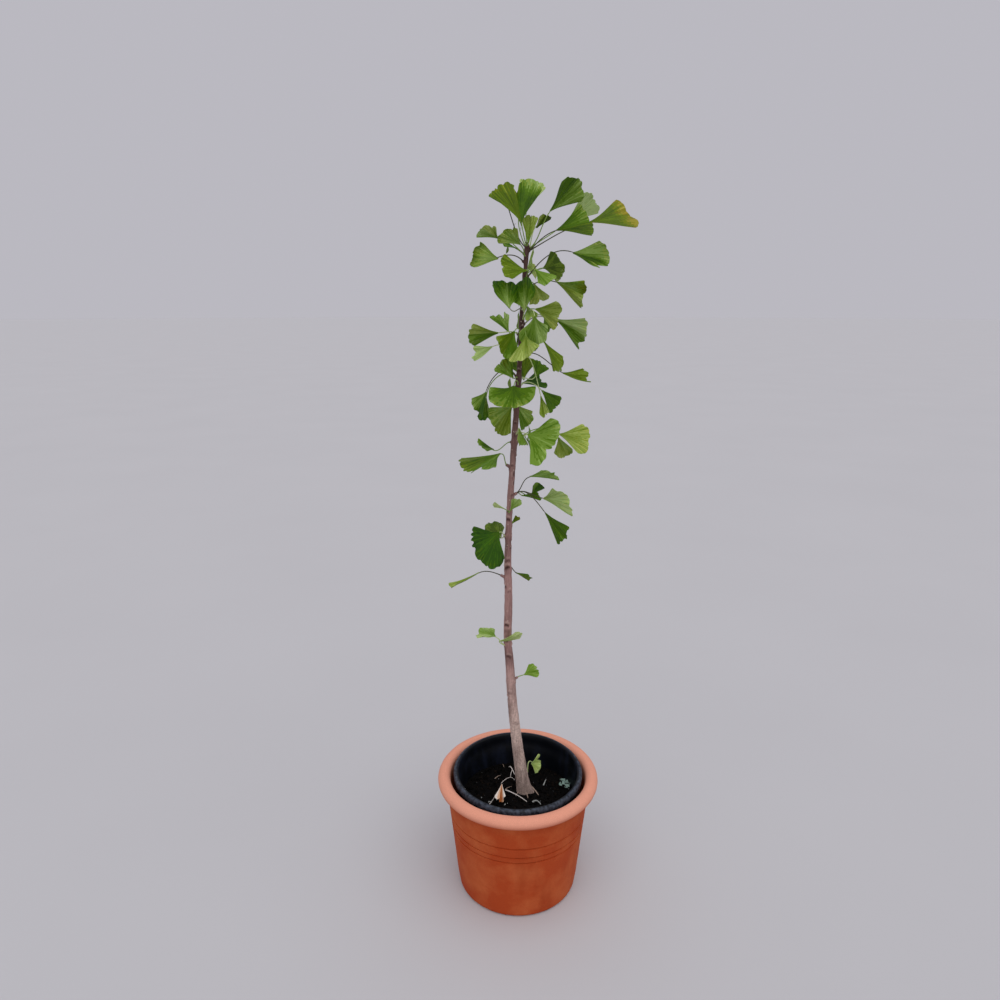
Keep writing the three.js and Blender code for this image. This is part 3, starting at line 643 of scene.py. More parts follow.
class Dress(Enum):
    """How a blade is coloured near its stalk, in its middle and along its margin.

    Each pair is a place among the families, where 0 is cool green, 1 leaf green, 2 olive, 3 gold and 4
    rust, and a lightness from 0 to 8.
    """

    DARK = ((1.1, 3.4), (1.0, 2.7), (1.0, 3.2))
    COOL_DARK = ((0.8, 3.0), (0.5, 2.4), (0.7, 2.2))
    GREEN = ((1.0, 4.6), (1.0, 3.9), (1.1, 4.5))
    FADED = ((1.0, 3.0), (1.0, 3.7), (1.2, 5.2))
    FRESH = ((1.0, 5.0), (1.0, 4.8), (1.1, 5.4))
    LIGHT = ((1.0, 5.4), (1.1, 5.8), (1.3, 6.2))
    SPRING = ((1.0, 5.0), (0.9, 5.8), (1.0, 6.6))
    PALE = ((1.1, 6.6), (1.1, 7.4), (1.2, 7.8))
    GHOST = ((1.1, 7.2), (1.1, 7.8), (1.1, 8.0))
    PALE_OLIVE = ((1.3, 4.8), (1.4, 6.2), (1.5, 6.9))
    LIME = ((1.3, 5.2), (1.6, 5.7), (1.7, 6.4))
    LIME_GREEN = ((1.2, 4.8), (1.4, 5.4), (1.5, 6.0))
    OLIVE = ((1.3, 3.9), (1.4, 3.7), (1.5, 4.3))
    MOSS = ((1.2, 3.4), (1.3, 2.7), (1.5, 3.8))
    DEEP = ((1.3, 2.4), (1.3, 1.9), (1.4, 2.6))
    SUNLIT = ((1.3, 4.4), (1.4, 4.9), (1.5, 5.2))
    ASHEN = ((1.1, 5.6), (1.2, 6.0), (1.3, 5.4))
    OLIVE_DARK = ((1.4, 3.4), (1.5, 2.9), (1.7, 3.4))
    COOL = ((0.8, 3.6), (0.9, 4.3), (1.0, 5.0))
    SHADED = ((1.2, 6.6), (0.9, 4.3), (0.6, 2.8))
    TIPPED = ((1.0, 2.8), (1.0, 2.3), (1.2, 5.8))
    MOTTLED = ((1.2, 3.8), (1.3, 3.2), (2.3, 3.6))
    GOLDEN = ((1.4, 3.2), (1.4, 3.0), (2.6, 4.6))
    EDGED = ((1.1, 5.4), (1.1, 5.2), (1.9, 3.4))
    YOUNG = ((1.2, 7.0), (1.3, 7.2), (1.2, 8.0))


@dataclass(frozen=True)
class LeafSkin:
    """A ginkgo blade's waxy skin: soft satin, with veins that fan out from the stalk."""

    tint: Tint
    veins: int = 26  # across a blade, fewer than a real one's so that they show
    wax_patch: float = 5.0  # mm

    def material(self) -> Material:
        """Makes the material: one plain colour, with its veins and wax in the relief and the shine."""
        surface = Surface(f"leaf_skin_{self.tint.place}_{self.tint.level}", self.tint.colour())
        across = surface.add("SeparateXYZ", [surface.coordinates.outputs["UV"]]).outputs[0]
        turns = surface.add("Math", [across, FULL_TURN * self.veins], operation="MULTIPLY")
        veins = surface.add("Math", [turns], operation="SINE")
        wax = surface.texture("TexNoise", self.wax_patch, Detail=3.0)
        return surface.finish(0.12, (wax, 0.48, 0.68), [(veins, 0.5, 0.12)])


@dataclass(frozen=True)
class DryFibre:
    """A thin stalk, straw or crumb: one plain colour that is rough in patches."""

    name: str
    colour: str
    gloss: float = 0.3
    patch: float = 2.5  # mm

    def material(self) -> Material:
        """Makes the material: one plain colour, with a fibrous relief."""
        surface = Surface(self.name, self.colour)
        fibres = surface.texture("TexNoise", self.patch, Detail=3.0)
        return surface.finish(self.gloss, (fibres, 0.6, 0.9), [(fibres, 0.4, 0.15)])


class Stalk(Enum):
    """The colours of leaf stalks."""

    GREEN = "#7E9A45"
    PALE = "#B4C285"
    GREY = "#8D8C76"
    DARK = "#45452A"


@dataclass(frozen=True)
class PaleConcrete:
    """A smooth pale floor, faintly clouded."""

    colour: str = "#C5C4C6"
    cloud: str = "#C0BFC1"
    cloud_size: float = 600.0  # mm

    def material(self) -> Material:
        """Makes the material: slightly darker clouds on a matte floor."""
        surface = Surface("pale_floor", self.colour)
        surface.cover(self.cloud, surface.texture("TexNoise", self.cloud_size, Detail=4.0), 0.0, 1.0)
        return surface.finish(0.5, 0.9)


# ---------------------------------------------------------------- studio


@dataclass(frozen=True)
class SoftLight:
    """A wide soft light, as even as a cloudy sky: where it comes from, its power and its width."""

    name: str
    bearing: float
    elevation: float
    strength: float
    width: float  # degrees

    def build(self) -> None:
        """Adds the light."""
        lamp = bpy.data.lights.new(self.name, "SUN")
        lamp.energy = self.strength
        lamp.angle = math.radians(self.width)
        holder = bpy.data.objects.new(self.name, lamp)
        towards = Vector(heading(self.bearing, self.elevation))
        holder.location = towards * 3
        holder.rotation_euler = (-towards).to_track_quat("-Z", "Y").to_euler()
        bpy.context.scene.collection.objects.link(holder)


@dataclass(frozen=True)
class Studio:
    """The camera, the soft lights and the plain floor."""

    camera_place: Point = (-0.029, -1.0856, 0.9363)
    camera_pitch: float = -14.49  # degrees
    focal_length: float = 27.18  # mm
    sensor_width: float = 36.0
    floor_radius: float = 60.0  # metres
    sky: str = "#F7F5FF"
    sky_strength: float = 0.53
    lights: tuple[SoftLight, ...] = (
        SoftLight("overhead_soft_light", 285, 62, 1.25, 75),
        SoftLight("front_soft_light", 262, 22, 0.3, 90),
    )

    def build(self) -> None:
        """Sets up the camera, the lights, the sky's even light and the floor."""
        lens = bpy.data.cameras.new("camera")
        lens.lens = self.focal_length
        lens.sensor_width = self.sensor_width
        camera = bpy.data.objects.new("camera", lens)
        camera.location = self.camera_place
        camera.rotation_euler = (math.radians(90 + self.camera_pitch), 0.0, 0.0)
        bpy.context.scene.collection.objects.link(camera)
        bpy.context.scene.camera = camera
        for light in self.lights:
            light.build()
        world = bpy.data.worlds.new("even_sky")
        world.use_nodes = True
        background = world.node_tree.nodes["Background"]
        background.inputs["Color"].default_value = linear(self.sky)
        background.inputs["Strength"].default_value = self.sky_strength
        bpy.context.scene.world = world
        bpy.context.scene.view_settings.view_transform = "Standard"
        bpy.ops.object.select_all(action="DESELECT")
        bpy.ops.mesh.primitive_circle_add(vertices=96, radius=self.floor_radius, fill_type="NGON")
        floor = bpy.context.active_object
        floor.name = "floor"
        floor.data.materials.append(PaleConcrete().material())
        LOG.info("studio: camera, %d soft lights, floor", len(self.lights))


# ---------------------------------------------------------------- pots and soil


def arc(middle: Pair, size: float, start: float, end: float, steps: int) -> list[Pair]:
    """Points of a round in a pot's profile.

    Args:
        middle: The radius and height of its middle, in mm.
        size: Its own radius.
        start: The angle it starts at, in degrees, from straight outwards.
        end: The angle it ends at.
        steps: The number of steps between them.

    Returns:
        The points as pairs of radius and height.
    """
    angles = np.radians(start + (end - start) * np.arange(steps + 1) / steps)
    return [(middle[0] + size * math.cos(a), middle[1] + size * math.sin(a)) for a in angles]


def stand_up(profile: Sequence[Pair]) -> list[Ring]:
    """A profile of radius and height as rings round the pots' middle."""
    return [Ring((0.0, 0.0, height), radius) for radius, height in profile]


@dataclass(frozen=True)
class TerracottaPot:
    """The outer pot: flat foot, straight body with three turned grooves, and a thick rolled rim."""

    height: float = 200.6
    foot_radius: float = 97.0
    foot_rounding: float = 7.0
    body_top_radius: float = 116.0
    rim_radius: float = 130.0
    rim_thickness: float = 20.0
    mouth_radius: float = 110.0
    wall: float = 8.5
    floor: float = 14.0
    underside_edge: float = 14.0  # how far the flat underside ends inside the foot
    under_rim: Pair = (0.6, 0.8)  # the fillet there, outwards and down
    inner_row: float = 90.0
    cove: tuple[Pair, ...] = ((3.0, 0.8), (8.0, 0.0))  # in from the wall and up from the floor
    lower_rows: tuple[float, ...] = (25.0, 50.0, 75.0, 98.0)  # heights of the body's rings
    upper_rows: tuple[float, ...] = (146.0, 160.0, 176.6)
    grooves: tuple[float, ...] = (110.0, 120.0, 137.0)
    groove_depth: float = 2.8
    groove_half_width: float = 1.5
    groove_rows: tuple[float, ...] = (-1.0, -0.55, 0.0, 0.55, 1.0)  # shares of the half width
    sides: int = 128
    wobble: float = 0.35  # how far the thrown wall strays from true
    swells: tuple[Pair, ...] = ((60.0, 0.7), (17.0, 0.3))  # how long they are, and their shares of it

    def outside(self, height: float) -> float:
        """The body's outer radius at a height."""
        slope = (self.body_top_radius - self.foot_radius) / (self.height - self.rim_thickness)
        return self.foot_radius + slope * height

    def profile(self) -> list[Pair]:
        """The section from the underside's edge, up the outside, over the rim and down inside."""
        rim_low = self.height - self.rim_thickness
        half = self.rim_thickness / 2
        foot = (self.foot_radius - self.foot_rounding, self.foot_rounding)
        points = [(self.foot_radius - self.underside_edge, 0.0)]
        points += arc(foot, self.foot_rounding, -90, 0, 6)
        points += [(self.outside(h), h) for h in self.lower_rows]
        for groove in self.grooves:
            for share in self.groove_rows:
                height = groove + share * self.groove_half_width
                depth = self.groove_depth * (1 - share * share)
                points.append((self.outside(height) - depth, height))
        points += [(self.outside(h), h) for h in self.upper_rows]
        points.append((self.outside(rim_low) + self.under_rim[0], rim_low - self.under_rim[1]))
        points += arc((self.rim_radius - half, self.height - half), half, -58, 90, 10)
        points += arc((self.mouth_radius + half, self.height - half), half, 100, 180, 6)
        points.append((self.outside(rim_low) - self.wall, rim_low - half))
        points.append((self.outside(self.inner_row) - self.wall, self.inner_row))
        inside = self.outside(self.floor) - self.wall
        points += [(inside - inwards, self.floor + up) for inwards, up in self.cove]
        return points

    def build(self) -> Piece:
        """Throws the pot and gives it the slight unevenness of clay."""
        pot = raise_rings("terracotta_pot_shell", stand_up(self.profile()), self.sides)

        def stray(p: Vector) -> Vector:
            """How far a point of the wall strays outwards; the flat underside stays true."""
            grounded = min(1.0, p.z / self.foot_rounding)
            swell = sum(share * noise.noise(p / length) for length, share in self.swells)
            return Vector((p.x, p.y, 0)).normalized() * swell * self.wobble * grounded

        return press_relief(pot, stray, 40)

    def dress(self, pot: Piece) -> None:
        """Gives the pot its clay and ties it to the frame."""
        hand_over(pot, ["terracotta_pot"], FiredTerracotta().material())


@dataclass(frozen=True)
class NurseryPot:
    """The thin black pot inside, with a tapering wall and a turned-over rim."""

    base: float = 14.3
    rim_height: float = 203.0
    rim_radius: float = 105.0
    bead_height: float = 10.5
    bead_depth: float = 4.4
    neck_radius: float = 99.0
    foot_radius: float = 78.0
    wall: float = 1.8
    floor: float = 2.0
    outer_rows: tuple[float, ...] = (60.0, 110.0, 160.0)  # heights of the wall's rings
    inner_rows: tuple[float, ...] = (178.0, 166.0, 150.0, 100.0, 40.0)  # from a faint stacking ledge down
    underside_edge: float = 12.0  # how far the underside ends inside the foot
    foot_edge: Pair = (1.5, 2.0)  # the edge around the foot, inwards and up
    bead_edge: tuple[Pair, ...] = ((1.4, 0.0), (0.2, 1.0))  # in from the rim and up from the neck
    cove: tuple[Pair, ...] = ((2.0, 0.4), (10.0, 0.0))  # in from the wall and up from the floor
    sides: int = 128
    dents: float = 0.5  # how deep they are
    dent_width: float = 45.0
    stiff_below: float = 40.0  # the wall gives above this height
    gives_over: float = 120.0  # and fully so this far above it
    lift: float = 3.6  # how far the rim rises at the back and dips at the front

    def outside(self, height: float) -> float:
        """The wall's outer radius at a height."""
        share = (height - self.base) / (self.rim_height - self.bead_height - self.base)
        return self.foot_radius + share * (self.neck_radius - self.foot_radius)

    def profile(self) -> list[Pair]:
        """The section from the underside, up the outside, over the rim and down inside."""
        neck = self.rim_height - self.bead_height
        bead = (self.rim_radius - self.bead_depth, self.rim_height - self.bead_depth)
        inwards, up = self.foot_edge
        points = [(self.foot_radius - edge, self.base) for edge in (self.underside_edge, inwards)]
        points += [(self.outside(h), h) for h in (self.base + up, *self.outer_rows, neck - up)]
        points += [(self.rim_radius - inwards, neck + up) for inwards, up in self.bead_edge]
        points += arc(bead, self.bead_depth, 0, 150, 8)
        inner = self.outside(neck) - self.wall
        points += [(inner + 0.6, neck - 1.5), (inner - 0.2, self.inner_rows[0] + 3.0)]
        points += [(self.outside(h) - self.wall, h) for h in self.inner_rows]
        inner_floor = self.base + self.floor
        inside = self.outside(inner_floor) - self.wall
        points += [(inside - inwards, inner_floor + up) for inwards, up in self.cove]
        return points

    def build(self) -> Piece:
        """Moulds the pot, with the soft dents of thin plastic."""
        pot = raise_rings("nursery_pot_shell", stand_up(self.profile()), self.sides)

        def dent(p: Vector) -> Vector:
            """How far a point of the wall is pushed in or out, less near the ground."""
            share = max(0.0, min(1.0, (p.z - self.stiff_below) / self.gives_over))
            dent = noise.noise(Vector((p.x, p.y, 0)) / self.dent_width) * share * self.dents
            askew = Vector((0, 0, self.lift * share * p.y / self.rim_radius))
            return Vector((p.x, p.y, 0)).normalized() * dent + askew

        return press_relief(pot, dent, 50)

    def dress(self, pot: Piece) -> None:
        """Gives the pot its plastic and ties it to the frame."""
        hand_over(pot, ["nursery_pot"], MouldedPolythene().material())


@dataclass(frozen=True)
class SoilBed:
    """The root ball's compost, with a crumbly top."""

    pot: NurseryPot
    surface: float = 152.0
    gap: float = 0.6  # between the compost and the pot's wall
    lump: float = 1.6
    lumps: tuple[Point, ...] = ((24, 3.1, 0.75), (7, 8.4, 0.6), (2.6, 1.7, 0.5))  # width, seed and share
    mound: float = 3.2  # how far the compost rises to the stem
    mound_place: Pair = (14.0, 6.0)
    mound_reach: float = 20.0
    ring_step: float = 2.2
    sides: int = 144

    def height(self, x: float, y: float) -> float:
        """The top's height at a place."""
        rough = sum(share * noise.noise(Vector((x / w, y / w, seed))) for w, seed, share in self.lumps)
        near = math.dist((x, y), self.mound_place) / self.mound_reach
        return self.surface + self.mound * math.exp(-near * near) + self.lump * rough

    def radius(self, height: float) -> float:
        """The compost's outer radius at a height."""
        return self.pot.outside(height) - self.pot.wall - self.gap

    def build(self) -> Piece:
        """Fills the pot and roughens the top."""
        bottom = self.pot.base + self.pot.floor + 0.5
        profile = [(self.radius(h), h) for h in (bottom, 80.0, self.surface - 3)]
        tops = np.arange(self.radius(self.surface), self.ring_step, -self.ring_step)
        profile += [(float(r), self.surface) for r in tops]
        bed = raise_rings("soil_bed", stand_up(profile), self.sides)

        def crumble(p: Vector) -> Vector:
            """Lifts or lowers the points of the top."""
            return Vector((0, 0, self.height(p.x, p.y) - p.z)) if p.z > self.surface - 1 else Vector()

        return press_relief(bed, crumble, 60)

    def dress(self, bed: Piece) -> None:
        """Gives the compost its material and ties it to the frame."""
        hand_over(bed, ["soil"], PottingCompost().material())


# ---------------------------------------------------------------- stem and spurs


@dataclass(frozen=True)
class Station:
    """A place on the stem: its height above the ground, its place in plan and its thickness, in mm."""

    height: float
    x: float
    y: float
    thickness: float


@dataclass(frozen=True)
class Spur:
    """A short side shoot: its node's name, height, bearing, length and thickness."""

    name: str
    height: float
    bearing: float
    length: float
    thickness: float


@dataclass(frozen=True)
class Scar:
    """The crescent that a fallen leaf left on the stem.

    Attributes:
        height: Its height above the ground, in mm.
        bearing: The side of the stem that it is on, in degrees.
        half_width: Half its width round the stem, in mm.
        tilt: How far it leans from level, in degrees.
        dark: How dark its hollow is, from 0 to 1.
        sag: How far the crescent's middle hangs below its ends, as a share of its half width.
        hollow: How tall its hollow is, in the same way.
        lip: How tall the lip above it is, which is raised and painted pale as a highlight.
    """

    height: float
    bearing: float
    half_width: float = 3.4
    tilt: float = 0.0
    dark: float = 1.0
    sag: float = 0.35
    hollow: float = 0.55
    lip: float = 0.35

    def across_and_up(self, height: float, bearing: float, radius: float) -> Pair:
        """A point of the bark's place on the scar, as shares of its half width."""
        turn = bearing - math.radians(self.bearing)
        turn = math.atan2(math.sin(turn), math.cos(turn))
        right, up = turn * radius / self.half_width, (height - self.height) / self.half_width
        lean = math.radians(self.tilt)
        across = right * math.cos(lean) + up * math.sin(lean)
        return across, up * math.cos(lean) - right * math.sin(lean) - self.sag * (1 - across * across)

    def strength(self, height: float, bearing: float, radius: float) -> Pair:
        """How strongly the hollow and the lip above it, painted pale as a highlight, show at a point of the
        bark, from 0 to 1.
        """
        across, up = self.across_and_up(height, bearing, radius)
        if abs(across) > 1.4 or abs(up) > 2:
            return 0.0, 0.0
        ends = 1 - smooth((abs(across) - 0.75) / 0.5)
        hollow = ends * math.exp(-((up / self.hollow) ** 2))
        lip = ends * math.exp(-(((up - 1.0) / self.lip) ** 2))
        return float(hollow), float(lip)


SPURS = (
    Spur("upper_right_spur", 742, 25, 8, 4.4),
    Spur("upper_left_spur", 704, 215, 7, 4.6),
    Spur("middle_right_spur", 661, 350, 5.5, 4.2),
    Spur("lower_left_spur", 532, 190, 6, 4.4),
    Spur("lower_right_spur", 360, 10, 4, 4.0),
)


@dataclass(frozen=True)
class Stem:
    """The single stem, from its flat cut on the compost to its tip."""

    stations: tuple[Station, ...] = (
        Station(152.3, 11, 9, 23), Station(175, 8, 7, 22), Station(199, 5, 5, 21),
        Station(246, -1, 2, 18.6), Station(300, -7, 0, 16.8), Station(344, -11, -1, 15.8),
        Station(396, -14, -2, 14), Station(430, -17, -2, 13.4), Station(497, -16, -2, 13),
        Station(562, -17, 0, 11.4), Station(633, -15, 1, 9.8), Station(701, -11, 1, 9.6),
        Station(761, -7, 1, 9.4), Station(825, -3, 1, 8), Station(875, 0, 1, 7.2), Station(929, 2, 0, 7),
        Station(983, 6, 0, 6.2), Station(1018, 8, 0, 4.6),
    )
    toes: tuple[Pair, ...] = ((-14, 8.5), (55, 4), (130, 5), (205, 3), (268, 2.5))
    toe_width: float = 30.0  # degrees; each toe has a bearing and a reach past the stem in mm
    flare_fades: float = 15.0
    furrow: float = 0.4  # the height of the upright furrows in the bark
    furrow_size: Pair = (3.0, 22.0)  # across and along the stem
    lump: float = 0.35
    lump_size: float = 9.0
    swelling: Pair = (0.35, 0.9)  # all round a bud, and on its own side
    swelling_reach: float = 4.0
    swells_above: float = 200.0  # the height under which its buds don't show in its outline
    scar_lip: float = 0.7  # how far it stands out, and how deep the hollow is
    scar_hollow: float = 0.6
    # how strongly a scar's lip is painted pale as a highlight
    lip_highlight: float = 0.55
    core: float = 0.5  # the middle of the two ends, which has no bark
    tip_cap: Pair = (1.2, 0.6)  # how high the rounded tip rises, and its part of the radius
    ring_step: float = 5.4
    sides: int = 10
    rounding: int = 2
    spur_rise: float = 30.0
    spur_years: int = 5  # how many rings of scales a spur has
    spur_scale: float = 0.16  # how far they stand out, as a share of its radius
    spur_taper: Pair = (1.2, 0.38)  # its radius at the stem, and how much that loses to the tip
    spur_cap: Pair = (0.9, 0.55)
    spur_root: float = 0.55  # where it starts inside the stem, as a part of the stem's radius
    spur_sides: int = 16
    spur_roughness: float = 0.18
    spur_grain: float = 1.7
    scars: tuple[Scar, ...] = (
        Scar(625, 238, 4.7), Scar(638, 240, 2.2), Scar(561, 268, 4.5, 12, 0.7), Scar(550, 262, 5.2, 22),
        Scar(696, 338, 4.5, 86, 0.8), Scar(682, 346, 3.8, 90, 0.7), Scar(581, 326, 2.5, 0, 0.9),
        Scar(446, 255, 5.6, 0, 0.35), Scar(663, 300, 2.7, 20, 0.5), Scar(770, 262, 2.5, -10, 0.6),
        Scar(457, 248, 4.5, -8), Scar(431, 243, 3.8, 6), Scar(404, 262, 4.7, -24, 0.8),
        Scar(754, 300, 3.4), Scar(708, 258, 2.5, 0, 0.6), Scar(801, 245, 2.9, 14),
        Scar(512, 285, 3.4, 10, 0.4), Scar(340, 250, 4.9, 8, 0.4), Scar(286, 282, 5.6, -6, 0.3),
        Scar(470, 60, 4.0), Scar(500, 130, 3.8), Scar(590, 20, 3.4), Scar(690, 100, 3.1),
        Scar(330, 190, 4.5, 10, 0.6), Scar(352, 95, 4.7), Scar(520, 200, 3.6, -10), Scar(640, 160, 3.1),
        Scar(420, 10, 4.3, 12), Scar(720, 20, 2.9), Scar(845, 265, 2.5), Scar(905, 280, 2.2),
        Scar(962, 255, 2.1), Scar(860, 100, 2.5),
    )

    def middle(self, height: float) -> np.ndarray:
        """The stem's middle at a height, on a smooth curve through its stations."""
        heights = [station.height for station in self.stations]
        i = min(max(bisect.bisect_right(heights, height) - 1, 0), len(heights) - 2)
        near = [self.stations[min(max(k, 0), len(heights) - 1)] for k in range(i - 1, i + 3)]
        before, start, end, after = (np.array([s.x, s.y, s.height]) for s in near)
        span = end[2] - start[2]
        t = (height - start[2]) / span
        leave = (end - before) / (end[2] - before[2]) * span
        arrive = (after - start) / (after[2] - start[2]) * span
        leaning = (t**3 - 2 * t**2 + t) * leave + (t**3 - t**2) * arrive
        return (2 * t**3 - 3 * t**2 + 1) * start + (3 * t**2 - 2 * t**3) * end + leaning

    def radius(self, height: float) -> float:
        """The stem's radius at a height, read between its stations."""
        heights = [s.height for s in self.stations]
        return float(np.interp(height, heights, [s.thickness / 2 for s in self.stations]))

    def spur_tip(self, spur: Spur) -> np.ndarray:
        """Where a spur ends."""
        reach = self.radius(spur.height) + spur.length
        return self.middle(spur.height) + heading(spur.bearing, self.spur_rise) * reach

    def build(self, buds: Sequence[Pair]) -> Piece:
        """Grows the stem ring by ring, rounds it and presses the bark's relief into it.

        Args:
            buds: The height and bearing of each bud, where the stem swells a little.

        Returns:
            The stem.
        """
        foot, tip = self.stations[0].height, self.stations[-1].height
        count = round((tip - foot) / self.ring_step)
        heights = np.linspace(foot, tip, count + 1)
        rings = [Ring(tuple(self.middle(h)), self.radius(h)) for h in heights]
        rise, part = self.tip_cap
        rings.append(Ring((*rings[-1].middle[:2], tip + rise), rings[-1].radius * part))
        stem = raise_rings("stem_bark", rings, self.sides)
        apply_subdivision(stem, self.rounding)

        def bark(p: Vector) -> Vector:
            """How far a point of the bark stands out from the plain stem."""
            middle = Vector(self.middle(min(max(p.z, foot), tip)))
            outwards = Vector((p.x - middle.x, p.y - middle.y, 0))
            if outwards.length < self.core:
                return Vector((0, 0, foot - p.z)) if p.z < foot + 1 else Vector()
            bearing = math.atan2(outwards.y, outwards.x)
            lift = 0.0
            for toe_bearing, toe_reach in self.toes:
                turn = (math.degrees(bearing) - toe_bearing + 180) % 360 - 180
                lift += toe_reach * math.exp(-((turn / self.toe_width) ** 2))
            lift *= math.exp(-max(0.0, p.z - foot) / self.flare_fades)
            wide, long = self.furrow_size
            lift += self.furrow * noise.noise(Vector((p.x / wide, p.y / wide, p.z / long)))
            lift += self.lump * noise.noise(p / self.lump_size)
            for height, side in buds:
                off = (p.z - height) / self.swelling_reach
                if abs(off) < 3:
                    facing = max(0.0, math.cos(bearing - math.radians(side)))
                    lift += math.exp(-off * off) * (self.swelling[0] + self.swelling[1] * facing**2)
            for scar in self.scars:
                hollow, lip = scar.strength(p.z, bearing, outwards.length)
                lift += self.scar_lip * lip - self.scar_hollow * hollow
            drop = Vector((0, 0, foot - p.z)) if p.z < foot + 0.9 else Vector()
            return outwards.normalized() * lift + drop

        self.mark_scars_and_lip_highlights(press_relief(stem, bark, 60))
        return stem

    def mark_scars_and_lip_highlights(self, stem: Piece) -> None:
        """Writes where a scar darkens the bark, above 0, or its lip has a painted highlight, below 0, for
        its material to read.
        """
        marks = stem.data.attributes.new("scarring", "FLOAT", "POINT")
        for vertex, mark in zip(stem.data.vertices, marks.data):
            p = vertex.co / MM
            middle = self.middle(min(max(p.z, self.stations[0].height), self.stations[-1].height))
            bearing = math.atan2(p.y - middle[1], p.x - middle[0])
            for scar in self.scars:
                hollow, lip = scar.strength(p.z, bearing, self.radius(p.z))
                mark.value += scar.dark * (hollow - self.lip_highlight * lip)

    def build_spur(self, spur: Spur) -> Piece:
        """Grows a short side shoot, ringed by the scales of past years."""
        along = heading(spur.bearing, self.spur_rise)
        start = self.middle(spur.height) + along * self.radius(spur.height) * self.spur_root
        tip = self.spur_tip(spur)
        thick = spur.thickness / 2
        rings = []
        for share in np.linspace(0, 1, 4 * self.spur_years + 1):
            ridge = self.spur_scale * math.cos(FULL_TURN * self.spur_years * share) * min(1.0, 3 * share)
            thickness = self.spur_taper[0] - self.spur_taper[1] * share + ridge
            rings.append(Ring(tuple(start + (tip - start) * share), thick * thickness))
        rings.append(Ring(tuple(tip + along * self.spur_cap[0]), thick * self.spur_cap[1]))
        piece = raise_rings(f"{spur.name}_bark", rings, self.spur_sides, Vector(along))

        def roughen(p: Vector) -> Vector:
            """How far a point of the spur's bark strays."""
            apart = (noise.noise(p / self.spur_grain + Vector((k, 0, 0))) for k in (0, 9, 18))
            return self.spur_roughness * Vector(apart)

        return press_relief(piece, roughen, 50)

    def dress(self, piece: Piece, bark: Material, node: str) -> None:
        """Gives the stem or a spur its bark and ties it to the frame."""
        hand_over(piece, [node], bark)


# ---------------------------------------------------------------- foliage


@dataclass(frozen=True)
class Fan:
    """A ginkgo blade's own shape.

    Attributes:
        size: Its length from the stalk to the margin, in mm.
        span: The angle that it opens to, in degrees.
        cleft: The depth of its main cleft, as a share of its length.
        cleft_at: Where the cleft is across the fan, from -1 to 1.
        fold: How far its halves rise towards each other, in degrees.
        curl: How far it bends up along its length, in degrees.
        hem: How far its margin rolls up, in degrees.
        ragged: How deep its margin is toothed, where 1 is usual.
        ruffle: The height of its waves at the margin, in mm for each 50 mm of size.
        flat: How straight its margin is, from 0, a round fan, to 1, a straight edge.
    """

    size: float
    span: float
    cleft: float = 0.1
    cleft_at: float = 0.0
    fold: float = 6.0
    curl: float = 0.0
    hem: float = 0.0
    ragged: float = 1.0
    ruffle: float = 2.2
    flat: float = 0.35


@dataclass(frozen=True)
class Leaf:
    """One leaf. Its blade starts at a reach and a rise from the stem's middle, out along a bearing.

    Attributes:
        out: The bearing of the blade's start from the stem.
        reach: Its distance from the stem's middle, in mm.
        rise: Its height above the mass's own height.
        aim: The bearing that its midline points along.
        pitch: How steeply the midline rises.
        face: The bearing and tilt that its upper side faces.
        fan: The blade's shape.
        dress: The blade's colouring, to the right of its midline seen from above.
        lee: The colouring to the left, where it differs.
        stalk: The stalk's colour.
        arch: How far the stalk bows upwards, in mm.
    """

    out: float
    reach: float
    rise: float
    aim: float
    pitch: float
    face: Pair
    fan: Fan
    dress: Dress = Dress.GREEN
    lee: Dress | None = None
    stalk: Stalk = Stalk.GREEN
    arch: float = 0.0


@dataclass(frozen=True)
class Mass:
    """A cluster of leaves that grows from one bud on the stem, or from a spur's tip."""

    name: str
    height: float
    side: float
    leaves: tuple[Leaf, ...]
    spur: str | None = None


